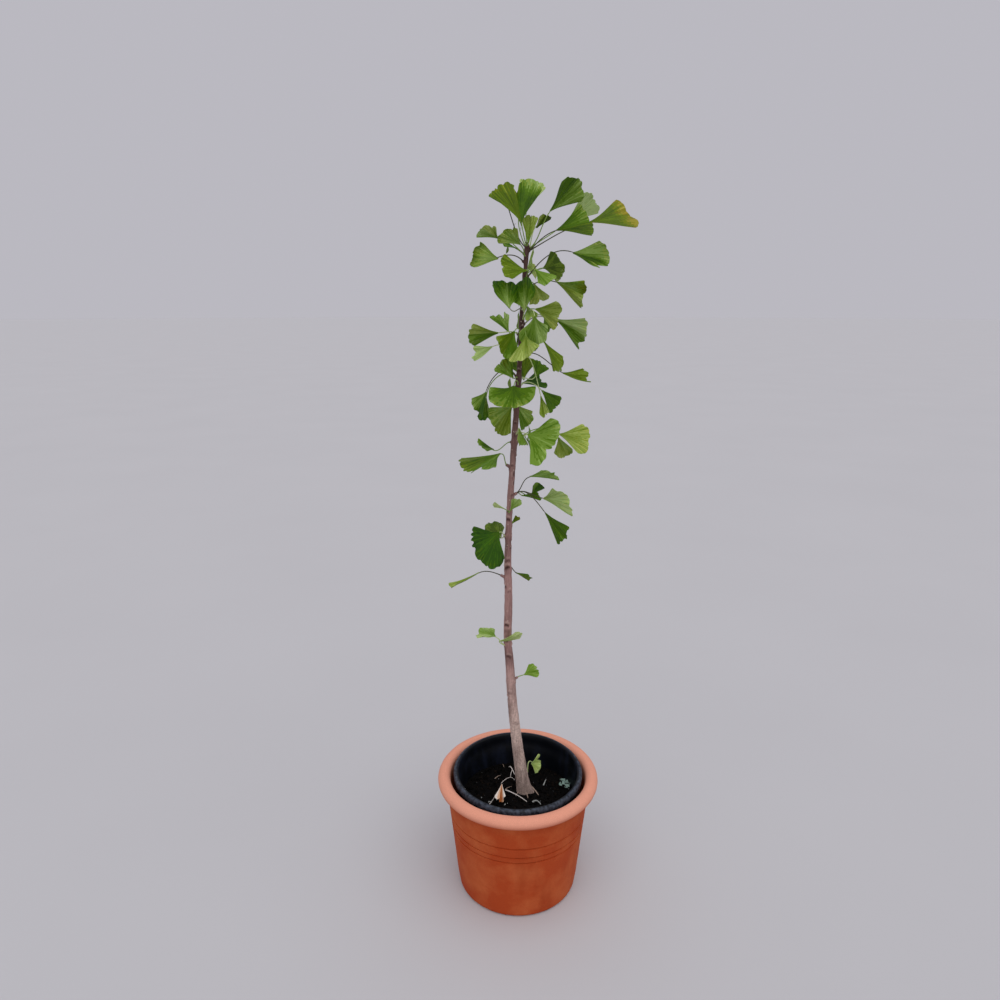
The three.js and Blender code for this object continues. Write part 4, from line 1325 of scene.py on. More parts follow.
MASSES = (
    Mass("top_front_leaves", 1013, 265, (
        Leaf(248, 22, 30, 117, 70, (273, 19),
             Fan(60, 85, cleft=0.36, cleft_at=0.02, fold=8, ragged=1.6, flat=-0.2), Dress.TIPPED,
             lee=Dress.OLIVE_DARK),
        Leaf(278, 11, 4, 54, 80, (236, 10), Fan(37, 44, fold=14, flat=-0.3), Dress.LIME_GREEN),
    )),
    Mass("top_back_leaves", 1012, 95, (
        Leaf(89, 30, 54, 44, 70, (270, 0), Fan(40, 60), Dress.PALE),
        Leaf(150, 29, 52, 127, 58, (270, 0), Fan(34, 70, cleft=0.2), Dress.OLIVE, stalk=Stalk.DARK),
        Leaf(105, 42, 40, 84, 26, (0, 10), Fan(42, 80, cleft=0.3, curl=-12), Dress.GREEN),
    )),
    Mass("top_right_back_leaves", 1011, 20, (
        Leaf(342, 32, 47, 346, 47, (317, -40), Fan(54, 82, cleft=0.02, fold=12, flat=0.1), Dress.FRESH,
             lee=Dress.DARK),
        Leaf(60, 28, 29, 310, 44, (304, -46), Fan(24, 64, cleft=0.02, fold=20, flat=0.5), Dress.DEEP,
             lee=Dress.PALE_OLIVE, stalk=Stalk.PALE, arch=9),
        # this blade's palest dress stands in for light shining through it from behind: painted light
        Leaf(46, 84, 40, 349, 39, (314, -45), Fan(51, 77, cleft=0.02, ruffle=1, flat=0.5), Dress.GHOST),
    )),
    Mass("top_right_front_leaves", 1008, 335, (
        Leaf(322, 49, 24, 19, 13, (281, 29), Fan(50, 64, cleft=0.05, fold=22, flat=0.3), Dress.DEEP,
             lee=Dress.FADED, stalk=Stalk.DARK),
        Leaf(7, 87, 38, 11, 9, (266, 57), Fan(61, 77, cleft=0, ragged=0.6, ruffle=0.6, flat=0.7),
             Dress.GOLDEN, lee=Dress.GOLDEN, stalk=Stalk.DARK),
    )),
    Mass("left_leaves_at_1004", 1004, 150, (
        Leaf(153, 44, 22, 216, 26, (255, -58), Fan(29, 88, cleft=0.3, cleft_at=0.6), Dress.PALE_OLIVE,
             lee=Dress.SPRING, stalk=Stalk.DARK),
        Leaf(119, 46, 21, 88, 9, (180, 20), Fan(38, 75, cleft=0.2, curl=-10), Dress.GREEN),
    )),
    Mass("front_leaves_at_1000", 1000, 250, (
        Leaf(255, 36, 14, 223, 28, (281, -45), Fan(34, 67, cleft=0.25, cleft_at=0.5, fold=18, flat=0.2),
             Dress.ASHEN),
        Leaf(240, 26, 9, 205, 18, (250, 60), Fan(30, 60), Dress.COOL_DARK, lee=Dress.COOL),
    )),
    Mass("left_leaf_at_994", 994, 160, (
        Leaf(153, 43, 5, 133, 5, (225, 25), Fan(53, 54, hem=120), Dress.ASHEN, stalk=Stalk.DARK, arch=6),
    )),
    Mass("front_leaf_at_980", 980, 268, (
        Leaf(270, 40, 0, 198, 6, (295, 48), Fan(36, 88, cleft=0.05, flat=0.2), Dress.OLIVE),
    )),
    Mass("back_leaves_at_976", 976, 80, (
        Leaf(84, 50, 12, 73, 13, (0, 10), Fan(40, 75, cleft=0.2), Dress.PALE_OLIVE, lee=Dress.ASHEN),
        Leaf(57, 50, 11, 16, 20, (271, 36), Fan(30, 87, cleft=0.04, flat=0.2), Dress.OLIVE_DARK),
    )),
    Mass("right_leaves_at_974", 974, 25, (
        Leaf(42, 37, 13, 317, 0, (47, 22), Fan(32, 104, cleft=0.04, flat=-0.1), Dress.COOL_DARK,
             lee=Dress.TIPPED),
        Leaf(23, 74, 33, 357, -10, (274, 39), Fan(52, 79, cleft=0.42, cleft_at=0.55, fold=12, flat=-0.3),
             Dress.TIPPED, lee=Dress.LIGHT, stalk=Stalk.DARK, arch=8),
    )),
    Mass("right_leaf_at_958", 958, 330, (
        Leaf(336, 49, 8, 332, -23, (230, -26), Fan(44, 58, cleft=0.02, fold=4, flat=1.1), Dress.LIME_GREEN,
             lee=Dress.EDGED, stalk=Stalk.DARK),
    )),
    Mass("front_leaf_at_958", 958, 288, (
        Leaf(285, 52, 23, 329, -39, (290, 44), Fan(28, 78, cleft=0.05, flat=0.3), Dress.COOL,
             lee=Dress.FRESH),
    )),
    Mass("back_leaves_at_950", 950, 80, (
        Leaf(69, 48, 15, 64, -48, (270, 0), Fan(34, 60, cleft=0.2), Dress.LIME, lee=Dress.PALE_OLIVE),
        Leaf(95, 52, 6, 84, 5, (180, 15), Fan(40, 80, cleft=0.2, curl=-12), Dress.GREEN),
    )),
    Mass("front_leaves_at_929", 929, 265, (
        Leaf(274, 40, 0, 90, 81, (217, 6), Fan(43, 114, cleft=0.02, fold=14, flat=-0.4), Dress.SHADED,
             stalk=Stalk.PALE),
        Leaf(250, 54, 3, 129, 55, (316, 35), Fan(43, 111, cleft=0.12, cleft_at=0.25, curl=14, flat=-0.3),
             Dress.SHADED, stalk=Stalk.GREY),
    )),
    Mass("front_leaves_at_916", 916, 290, (
        Leaf(291, 48, 15, 346, -14, (248, -29), Fan(35, 79, cleft=0.06, flat=0.5), Dress.LIME,
             lee=Dress.LIME_GREEN),
        Leaf(285, 60, 6, 278, -80, (211, 4), Fan(45, 127, cleft=0.12, cleft_at=-0.3, ruffle=1.4, flat=0),
             Dress.FRESH, lee=Dress.SPRING, stalk=Stalk.PALE),
        Leaf(285, 26, 18, 290, -41, (270, 0), Fan(24, 50), Dress.LIGHT, stalk=Stalk.PALE),
    )),
    Mass("right_leaves_at_910", 910, 40, (
        Leaf(55, 61, 8, 64, -37, (270, 0), Fan(30, 60), Dress.GREEN),
        Leaf(31, 59, 6, 333, -24, (229, -29), Fan(51, 64, cleft=0.12, cleft_at=0.7, flat=1), Dress.COOL,
             lee=Dress.PALE, stalk=Stalk.GREY),
        Leaf(90, 50, -8, 88, -2, (0, 10), Fan(42, 80, cleft=0.2, curl=-10), Dress.GREEN),
    )),
    Mass("left_leaves_at_896", 896, 165, (
        Leaf(212, 38, 3, 185, -3, (278, -44), Fan(41, 68, cleft=0.03, flat=0.5), Dress.LIME_GREEN,
             lee=Dress.COOL, stalk=Stalk.PALE),
        Leaf(109, 53, 2, 126, 43, (284, 45), Fan(36, 56, cleft=0.35, cleft_at=0.35, flat=0.5),
             Dress.SPRING, lee=Dress.COOL),
    )),
    Mass("front_leaves_at_891", 891, 262, (
        Leaf(275, 58, 5, 263, -54, (219, 28), Fan(37, 92, cleft=0.06, flat=0.3), Dress.PALE_OLIVE),
        Leaf(257, 46, 11, 224, -56, (312, -2), Fan(38, 92, cleft=0.05, flat=0), Dress.OLIVE,
             lee=Dress.GREEN),
    )),
    Mass("left_leaf_at_870", 870, 135, (
        Leaf(135, 57, 7, 128, -25, (209, 18), Fan(39, 46, cleft=0.03, curl=25, flat=0), Dress.PALE,
             stalk=Stalk.PALE),
        Leaf(95, 52, 6, 90, -3, (180, 10), Fan(40, 80, cleft=0.2, curl=-10), Dress.GREEN),
    )),
    Mass("right_leaves_at_866", 866, 315, (
        Leaf(317, 44, 21, 2, -63, (330, 23), Fan(46, 70, cleft=0.03, fold=16, flat=-0.3), Dress.OLIVE,
             stalk=Stalk.PALE),
        Leaf(309, 45, -53, 279, -31, (222, 42), Fan(43, 26, fold=30, flat=-0.3), Dress.SUNLIT,
             lee=Dress.PALE_OLIVE, stalk=Stalk.PALE),
    )),
    Mass("right_leaf_at_866", 866, 22, (
        Leaf(22, 68, -26, 35, -18, (319, 38), Fan(46, 48, cleft=0.06, fold=16, curl=18, flat=-0.1),
             Dress.OLIVE, stalk=Stalk.DARK),
    )),
    Mass("left_front_leaves_at_836", 836, 250, (
        Leaf(251, 32, 3, 180, 49, (296, 21), Fan(27, 68, cleft=0.04, flat=0.2), Dress.FRESH),
        Leaf(249, 24, 1, 232, 62, (284, -18), Fan(32, 31, cleft=0.02, fold=15, flat=0), Dress.COOL,
             lee=Dress.EDGED),
    )),
    Mass("left_leaves_at_838", 838, 148, (
        Leaf(157, 51, -25, 124, -49, (220, -6), Fan(40, 60, cleft=0.03, cleft_at=0.3, flat=0.6),
             Dress.FRESH, lee=Dress.COOL_DARK, stalk=Stalk.DARK, arch=12),
        Leaf(139, 63, -36, 65, -79, (230, 0), Fan(36, 60, fold=25), Dress.SHADED, lee=Dress.ASHEN),
    )),
    Mass("back_leaves_at_832", 832, 70, (
        Leaf(80, 56, -2, 98, 43, (270, 0), Fan(38, 80, cleft=0.2), Dress.OLIVE_DARK, lee=Dress.DEEP),
        Leaf(58, 47, 0, 60, 43, (270, 0), Fan(30, 60), Dress.DARK, stalk=Stalk.PALE),
    )),
    Mass("front_leaf_at_826", 826, 262, (
        Leaf(261, 45, 3, 249, -69, (236, 20), Fan(33, 172, cleft=0.08, cleft_at=0.1, ruffle=0.8),
             Dress.FADED),
    )),
    Mass("right_leaves_at_822", 822, 65, (
        Leaf(81, 51, 1, 26, 2, (270, 60), Fan(36, 70), Dress.COOL_DARK),
        Leaf(44, 50, -8, 13, -48, (308, 21), Fan(35, 63, cleft=0.03, cleft_at=0.4, flat=0.5), Dress.DARK,
             stalk=Stalk.PALE),
    )),
    Mass("back_leaves_at_800", 800, 98, (
        Leaf(101, 34, -8, 220, -40, (309, 1), Fan(48, 82, cleft=0.05, flat=0), Dress.ASHEN,
             lee=Dress.SUNLIT),
        Leaf(89, 54, -10, 47, -51, (317, 0), Fan(44, 62, cleft=0.05, flat=-0.1), Dress.GREEN,
             lee=Dress.ASHEN),
        Leaf(99, 50, 6, 85, -6, (0, 10), Fan(42, 80, cleft=0.2, curl=-12), Dress.GREEN),
    )),
    Mass("front_leaves_at_755", 755, 288, (
        Leaf(280, 32, 12, 277, -48, (300, 0), Fan(28, 50, fold=20), Dress.ASHEN, lee=Dress.FRESH,
             stalk=Stalk.PALE),
        Leaf(290, 49, 7, 343, -14, (267, 45), Fan(43, 131, cleft=0.2, cleft_at=0.35, fold=-6, ruffle=1.8),
             Dress.FRESH, stalk=Stalk.PALE),
    )),
    Mass("right_leaves_at_742", 742, 25, (
        Leaf(33, 81, 0, 359, -66, (238, -13), Fan(33, 80, cleft=0.06, fold=10, flat=-0.3), Dress.LIME,
             lee=Dress.ASHEN),
        Leaf(11, 68, 10, 4, -15, (286, 38), Fan(48, 80, cleft=0.05, ruffle=1.2, flat=-0.3), Dress.LIME,
             stalk=Stalk.PALE),
        Leaf(66, 50, -4, 76, -10, (0, 5), Fan(40, 75, cleft=0.2, curl=-12), Dress.GREEN),
    ), spur="upper_right_spur"),
    Mass("left_leaf_at_742", 742, 140, (
        Leaf(142, 38, -15, 220, 19, (343, 57), Fan(30, 64, cleft=0.03, fold=12, flat=0.1), Dress.TIPPED,
             lee=Dress.GREEN, arch=-6),
    )),
    Mass("left_leaf_at_704", 704, 215, (
        Leaf(237, 32, 27, 215, -19, (210, 71), Fan(60, 98, cleft=0.05, ragged=1.8, ruffle=1.5, flat=0.3),
             Dress.MOSS, lee=Dress.GREEN),
    ), spur="upper_left_spur"),
    Mass("right_back_leaves_at_661", 663, 25, (
        Leaf(38, 37, 23, 17, -2, (309, 85), Fan(45, 84, flat=-0.3), Dress.FRESH, stalk=Stalk.DARK),
        Leaf(40, 43, -7, 8, 66, (312, -14), Fan(22, 85, cleft=0, fold=14, curl=10, ragged=0.4, flat=0.3),
             Dress.COOL_DARK, lee=Dress.COOL),
        Leaf(37, 21, -4, 4, -9, (320, 77), Fan(30, 68, fold=14, flat=-0.3), Dress.DARK),
    ), spur="middle_right_spur"),
    Mass("right_front_leaves_at_661", 659, 330, (
        Leaf(326, 57, 7, 310, 12, (227, -31), Fan(52, 64, cleft=0.02, fold=20, flat=1.1), Dress.PALE,
             stalk=Stalk.DARK),
        Leaf(342, 54, -19, 316, -37, (220, -8), Fan(50, 50, cleft=0.06, cleft_at=0.3, flat=1), Dress.DARK,
             stalk=Stalk.DARK),
    ), spur="middle_right_spur"),
    Mass("front_leaves_at_637", 637, 262, (
        Leaf(273, 22, 9, 355, 56, (298, -20), Fan(21, 71, cleft=0, flat=-0.3), Dress.SPRING),
        Leaf(246, 22, 11, 169, 18, (66, 33), Fan(17, 43, cleft=0, flat=0.1), Dress.GHOST),
    )),
    Mass("right_leaf_at_616", 616, 60, (
        Leaf(72, 14, -1, 38, 30, (264, 50), Fan(16, 42, cleft=0, fold=20, flat=0.1), Dress.MOTTLED),
    )),
    Mass("left_leaf_at_600", 600, 218, (
        Leaf(236, 25, 12, 171, -56, (232, 18),
             Fan(56, 123, cleft=0.06, cleft_at=-0.2, ragged=1.8, ruffle=1.3, flat=-0.2), Dress.COOL_DARK,
             stalk=Stalk.PALE),
    )),
    Mass("back_leaf_at_600", 600, 105, (
        Leaf(111, 31, -13, 136, 49, (140, -40), Fan(31, 108, flat=0.1), Dress.DEEP, lee=Dress.COOL_DARK,
             stalk=Stalk.PALE),
    )),
    Mass("right_leaf_at_546", 546, 60, (
        Leaf(60, 24, -12, 18, -34, (30, 60), Fan(28, 50, cleft=0, fold=40), Dress.DARK, stalk=Stalk.DARK),
    )),
    Mass("left_leaf_at_533", 533, 195, (
        Leaf(191, 45, 12, 225, -15, (165, 62), Fan(55, 30, fold=20, curl=10, flat=-0.3), Dress.LIME_GREEN,
             stalk=Stalk.DARK),
    ), spur="lower_left_spur"),
    Mass("left_leaves_at_425", 425, 240, (
        Leaf(204, 21, 16, 158, 2, (286, 86), Fan(31, 130, fold=10, ragged=1.4, ruffle=4, flat=-0.3),
             Dress.SPRING, lee=Dress.PALE, stalk=Stalk.PALE),
        Leaf(226, 20, 11, 2, 3, (104, 37), Fan(37, 52, cleft=0, curl=25, flat=-0.3), Dress.PALE,
             stalk=Stalk.PALE),
    )),
    Mass("right_leaf_at_360", 360, 10, (
        Leaf(12, 22, 9, 21, 14, (259, 64), Fan(25, 88, ragged=1.5, flat=-0.3), Dress.FRESH),
    ), spur="lower_right_spur"),
    Mass("foot_sprout_leaf", 158, 65, (
        Leaf(68, 37, 25, 24, -16, (296, 16), Fan(19, 118, cleft=0.35, cleft_at=-0.5, flat=0.2),
             Dress.YOUNG, stalk=Stalk.PALE, arch=16),
    )),
)


class Storey(Enum):
    """The parts of the crown that the leaves are joined by, with the height each starts at."""

    TOP = 945.0
    UPPER = 840.0
    MIDDLE = 700.0
    LOWER = 0.0

    @classmethod
    def of(cls, mass: Mass) -> "Storey":
        """The storey that a mass belongs to."""
        return next(storey for storey in cls if mass.height >= storey.value)

    @property
    def piece(self) -> str:
        """The name of the piece that its leaves are joined in."""
        return f"{self.name.lower()}_leaves"


@dataclass
class BladeRule:
    """The rule that turns a fan into a mesh, with its teeth, waves and colours drawn from a seed."""

    rng: np.random.Generator
    strips: int = 44
    rings: int = 13
    thickness: float = 0.5
    stalk_width: float = 2.0
    pinch: float = 0.34  # how much the fan narrows towards its stalk
    corner: float = 0.1
    tooth: float = 0.035
    lobing: float = 0.03
    lobes: float = 4.2  # radians of their wave from the midline to a side
    waves: Pair = (5.2, 11.5)  # the same for the margin's broad and narrow waves
    slit_half_width: float = 0.05
    slit_depths: Pair = (0.02, 0.09)
    slit_reach: float = 0.85
    cleft_width: float = 0.24
    cleft_part: float = 0.12  # how far the two sides of a cleft stand apart in height
    part_reach: float = 0.3
    widest_flat: float = 0.9  # radians from the midline, past which the margin isn't straightened
    hem_from: float = 0.78  # where along the blade its margin starts to roll
    fold_reach: float = 0.35  # how wide the bend of a fold is
    stops: Point = (0.1, 0.62, 0.98)  # where the three colours of a dress stand
    seam: float = 0.24  # how wide the change from one half's colour to the other's is
    streak: float = 0.5  # how far the lightness strays from vein to vein
    patch: float = 0.5  # from place to place, in broad patches of painted light and shade such as the blade's waves catch
    speck: float = 0.16  # and from face to face

    def margin(self, fan: Fan, u: np.ndarray) -> np.ndarray:
        """The blade's length along each strip, with its rounded corners, lobes, teeth and clefts."""
        phase = self.rng.uniform(0, FULL_TURN, 4)
        teeth = 5 + fan.span / 28
        scallop = 1 - np.abs(np.sin(teeth * u + phase[0] + 0.5 * np.sin(3 * u + phase[1])))
        slits = np.zeros_like(u)
        for place in self.rng.uniform(-self.slit_reach, self.slit_reach, max(0, round(4 * fan.ragged) - 3)):
            slit = np.clip(1 - np.abs(u - place) / self.slit_half_width, 0, 1)
            slits += slit * self.rng.uniform(*self.slit_depths)
        lobes = self.lobing * np.sin(self.lobes * u + phase[2])
        corner = self.corner * np.abs(u) ** 6
        half = np.minimum(math.radians(fan.span / 2) * np.abs(u), self.widest_flat)
        straight = 1 + fan.flat * (1 / np.cos(half) - 1)
        cleft = fan.cleft * np.clip(1 - np.abs(u - fan.cleft_at) / self.cleft_width, 0, 1) ** 1.4
        shape = 1 + lobes - corner - fan.ragged * (self.tooth * scallop**2 + slits)
        return fan.size * straight * shape * (1 - cleft)

    def surface(self, fan: Fan) -> np.ndarray:
        """The middle surface as a grid of points: across, forwards and up, in mm."""
        u = np.linspace(-1, 1, self.strips + 1)[None, :]
        v = np.linspace(0, 1, self.rings + 1)[:, None]
        length = self.margin(fan, u)
        rolled = smooth((v - self.hem_from) / (1 - self.hem_from))
        bend = math.radians(fan.curl) * v + math.radians(fan.hem) * rolled
        steps = [axis((bend[1:] + bend[:-1]) / 2) / self.rings for axis in (np.cos, np.sin)]
        run, lift = (np.vstack([[[0.0]], np.cumsum(step, axis=0)]) for step in steps)
        angle = math.radians(fan.span / 2) * u * (1 - self.pinch * (1 - v) ** 2)
        x = length * run * np.sin(angle) + u * (self.stalk_width / 2) * (1 - v)
        y = length * run * np.cos(angle)
        phase = self.rng.uniform(0, FULL_TURN, 3)
        waves = np.sin(self.waves[0] * u + phase[0]) + 0.45 * np.sin(self.waves[1] * u + phase[1])
        high = fan.ruffle * fan.size / 50
        z = length * lift + high * v**2.2 * waves + 0.25 * high * v * np.sin(6 * v + 3 * u + phase[2])
        part = np.clip(1 - np.abs(u - fan.cleft_at) / self.part_reach, 0, 1) * np.sign(u - fan.cleft_at)
        z = z + fan.cleft * self.cleft_part * fan.size * part * v**3
        fold = math.radians(fan.fold) * smooth(np.abs(u) / self.fold_reach) * np.sign(u)
        x, z = x * np.cos(fold) - z * np.sin(fold), x * np.sin(fold) + z * np.cos(fold)
        return np.stack([x, y, z], axis=-1)

    def normals(self, grid: np.ndarray) -> np.ndarray:
        """The unit normals of a grid of points."""
        normal = np.cross(np.gradient(grid, axis=1), np.gradient(grid, axis=0))
        return normal / np.linalg.norm(normal, axis=-1, keepdims=True)

    def faces(self) -> list[Face]:
        """The faces of the closed blade: the upper side, the underside, then the edges."""
        width = self.strips + 1
        under = width * (self.rings + 1)
        cells = [i * width + j for i in range(self.rings) for j in range(self.strips)]
        top = [(c, c + 1, c + 1 + width, c + width) for c in cells]
        bottom = [(under + d, under + a, under + b, under + c) for a, b, c, d in top]
        edge = []
        for j in range(self.strips):
            outer = self.rings * width + j
            edge.append((outer, outer + 1, under + outer + 1, under + outer))
            edge.append((j + 1, j, under + j, under + j + 1))
        for i in range(self.rings):
            low, high = i * width, (i + 1) * width
            edge.append((low, high, under + high, under + low))
            low, high = low + self.strips, high + self.strips
            edge.append((high, low, under + low, under + high))
        return top + bottom + edge

    def tints(self, leaf: Leaf) -> list[Tint]:
        """The tint of every face: it changes from the stalk to the margin, in streaks along the veins."""
        across = np.linspace(-1, 1, self.strips)
        out = (np.arange(self.rings) + 0.5) / self.rings
        wander = 0.07 * np.sin(7 * across + self.rng.uniform(0, 6)) + self.rng.normal(0, 0.05, self.strips)
        place = np.clip(out[:, None] + wander[None, :], 0, 1)
        seam = across + self.seam / 2 + self.rng.normal(0, 0.05, self.strips)
        share = smooth(seam / self.seam)[None, :]
        hue = level = 0.0
        for dress, part in ((leaf.lee or leaf.dress, 1 - share), (leaf.dress, share)):
            hues, levels = zip(*dress.value)
            hue = hue + part * np.interp(place, self.stops, hues)
            level = level + part * np.interp(place, self.stops, levels)
        streak = self.rng.normal(0, self.streak, self.strips) * np.linspace(0.4, 1, self.rings)[:, None]
        # broad patches of painted light and shade across the blade
        patch = self.patch * np.sin(5 * across[None, :] + self.rng.uniform(0, 6)) * np.sin(4 * out[:, None])
        hue += 0.15 * streak + self.rng.normal(0, self.speck / 2, hue.shape)
        level += streak + patch + self.rng.normal(0, self.speck, level.shape)
        upper = [Tint.nearest(*pair) for pair in zip(hue.ravel(), level.ravel())]
        lower = [tint.underside() for tint in upper]
        rim_tint = Tint.nearest(*leaf.dress.value[2])
        return upper + lower + [rim_tint] * (2 * self.strips + 2 * self.rings)

    def blade(self, leaf: Leaf, start: np.ndarray) -> tuple[np.ndarray, np.ndarray]:
        """Grows a leaf's blade.

        Args:
            leaf: The leaf.
            start: Where its blade starts, in mm.

        Returns:
            Its points, and each point's place on the fan.
        """
        grid = self.surface(leaf.fan)
        v = np.linspace(0, 1, self.rings + 1)[:, None, None]
        thick = self.thickness * (0.75 + 1.2 * np.clip(1 - 5 * v, 0, 1) - 0.25 * v**4)
        offset = self.normals(grid) * thick / 2
        along = heading(leaf.aim, leaf.pitch)
        face = heading(*leaf.face)
        face = unit(face - along * (face @ along))
        axes = np.array([np.cross(along, face), along, face])
        points = np.vstack([(grid + offset).reshape(-1, 3), (grid - offset).reshape(-1, 3)])
        across, forward = np.meshgrid(np.linspace(0, 1, self.strips + 1), v.ravel())
        place = np.stack([across.ravel(), forward.ravel()], axis=-1)
        return start + points @ axes, np.vstack([place, place])


@dataclass
class Foliage:
    """All the leaves, their stalks and the buds they grow from, grown by one seeded rule."""

    stem: Stem
    seed: int = 11
    bud_stand_off: float = 1.2
    bud_radius: float = 1.9
    bud_length: float = 5.0
    bud_sunk: float = 3.0  # how much of it lies inside the bark
    bud_years: int = 4  # how many rings of scales it has
    stalk_rise: float = 35.0
    stalk_pull: float = 0.35
    stalk_into_blade: float = 5.0
    stalk_sway: float = 0.03
    stalk_radius: float = 0.75
    stalk_sides: int = 7
    stalk_steps: int = 16

    def foot(self, mass: Mass) -> np.ndarray:
        """Where a mass grows from: a bud on the stem's side, or its spur's tip."""
        for spur in SPURS:
            if spur.name == mass.spur:
                return self.stem.spur_tip(spur)
        reach = self.stem.radius(mass.height) + self.bud_stand_off
        return self.stem.middle(mass.height) + heading(mass.side) * reach

    def blade_start(self, mass: Mass, leaf: Leaf) -> np.ndarray:
        """Where a leaf's blade starts."""
        return self.stem.middle(mass.height) + heading(leaf.out) * leaf.reach + UP * leaf.rise

    def grow_stalk(self, mass: Mass, leaf: Leaf, into: JoinedMesh, rng: np.random.Generator) -> None:
        """Grows a leaf's stalk from the bud, outwards and upwards, into the blade."""
        foot, start = self.foot(mass), self.blade_start(mass, leaf)
        along = heading(leaf.aim, leaf.pitch)
        distance = float(np.linalg.norm(start - foot))
        sway = rng.normal(0, self.stalk_sway, 3) * distance
        leaving = heading(leaf.out, self.stalk_rise) * distance * self.stalk_pull + UP * leaf.arch + sway
        arriving = UP * leaf.arch - along * distance * self.stalk_pull
        controls = (foot, foot + leaving, start + arriving, start + along * self.stalk_into_blade)
        t = np.linspace(0, 1, self.stalk_steps + 1)
        thick = 1 + 0.7 * np.exp(-t * 14) - 0.12 * t
        radii = self.stalk_radius * thick * (1 - 0.65 * smooth((t - 0.9) / 0.1))
        points, faces = tube(bezier(controls, self.stalk_steps), radii, self.stalk_sides)
        into.add(points, faces, list(Stalk).index(leaf.stalk))

    def grow_bud(self, mass: Mass, into: JoinedMesh) -> None:
        """Grows the scaly bud that a mass's stalks come out of."""
        along = heading(mass.side, self.stem.spur_rise)
        t = np.linspace(0, 1, 4 * self.bud_years + 1)
        path = self.foot(mass) + np.outer(t * self.bud_length - self.bud_sunk, along)
        radii = self.bud_radius * (1.15 - 0.25 * t) * (1 + 0.1 * np.cos(FULL_TURN * self.bud_years * t))
        radii *= np.sqrt(np.clip(1 - ((t - 0.72) / 0.3).clip(0, 1) ** 2, 0.06, 1))
        into.add(*tube(path, radii, 10))

    def build(self) -> dict[str, Piece]:
        """Grows every mass.

        Returns:
            The pieces by name: the leaves of each storey, the stalks and the buds.
        """
        storeys = {storey: JoinedMesh() for storey in Storey}
        stalks, buds = JoinedMesh(), JoinedMesh()
        tint_numbers: dict[Tint, int] = {}
        for number, mass in enumerate(MASSES):
            rng = np.random.default_rng([self.seed, number])
            rule = BladeRule(rng)
            self.grow_bud(mass, buds)
            for leaf in mass.leaves:
                self.grow_stalk(mass, leaf, stalks, rng)
                points, places = rule.blade(leaf, self.blade_start(mass, leaf))
                slots = [tint_numbers.setdefault(tint, len(tint_numbers)) for tint in rule.tints(leaf)]
                storeys[Storey.of(mass)].add(points, rule.faces(), slots, places)
        skins = [LeafSkin(tint).material() for tint in tint_numbers]
        stalk_skins = [DryFibre(f"leaf_stalk_{s.name.lower()}", s.value).material() for s in Stalk]
        made = {storey.piece: (joined, skins) for storey, joined in storeys.items()}
        made |= {"leaf_stalks": (stalks, stalk_skins), "scaly_buds": (buds, [])}
        return {name: joined.build(name, finishes, 60) for name, (joined, finishes) in made.items()}

    def dress(self, pieces: dict[str, Piece], bark: Material) -> None:
        """Ties the leaves, stalks and buds to the frame, and gives the buds their bark."""
        for storey in Storey:
            masses = [mass.name for mass in MASSES if Storey.of(mass) is storey]
            hand_over(pieces[storey.piece], masses)
        hand_over(pieces["leaf_stalks"])
        hand_over(pieces["scaly_buds"], material=bark)


# ---------------------------------------------------------------- what lies on the compost


class Dryness(Enum):
    """What a dry strand on the compost is, by its colour."""

    STRAW = "#D2C9C2"
    ROOT = "#A58F80"
    CHIP = "#9FA09C"


@dataclass(frozen=True)
class Strand:
    """A root end, straw or chip: the four controls of its curve above the compost, radius and kind."""

    path: tuple[Point, ...]
    radius: float
    kind: Dryness = Dryness.STRAW


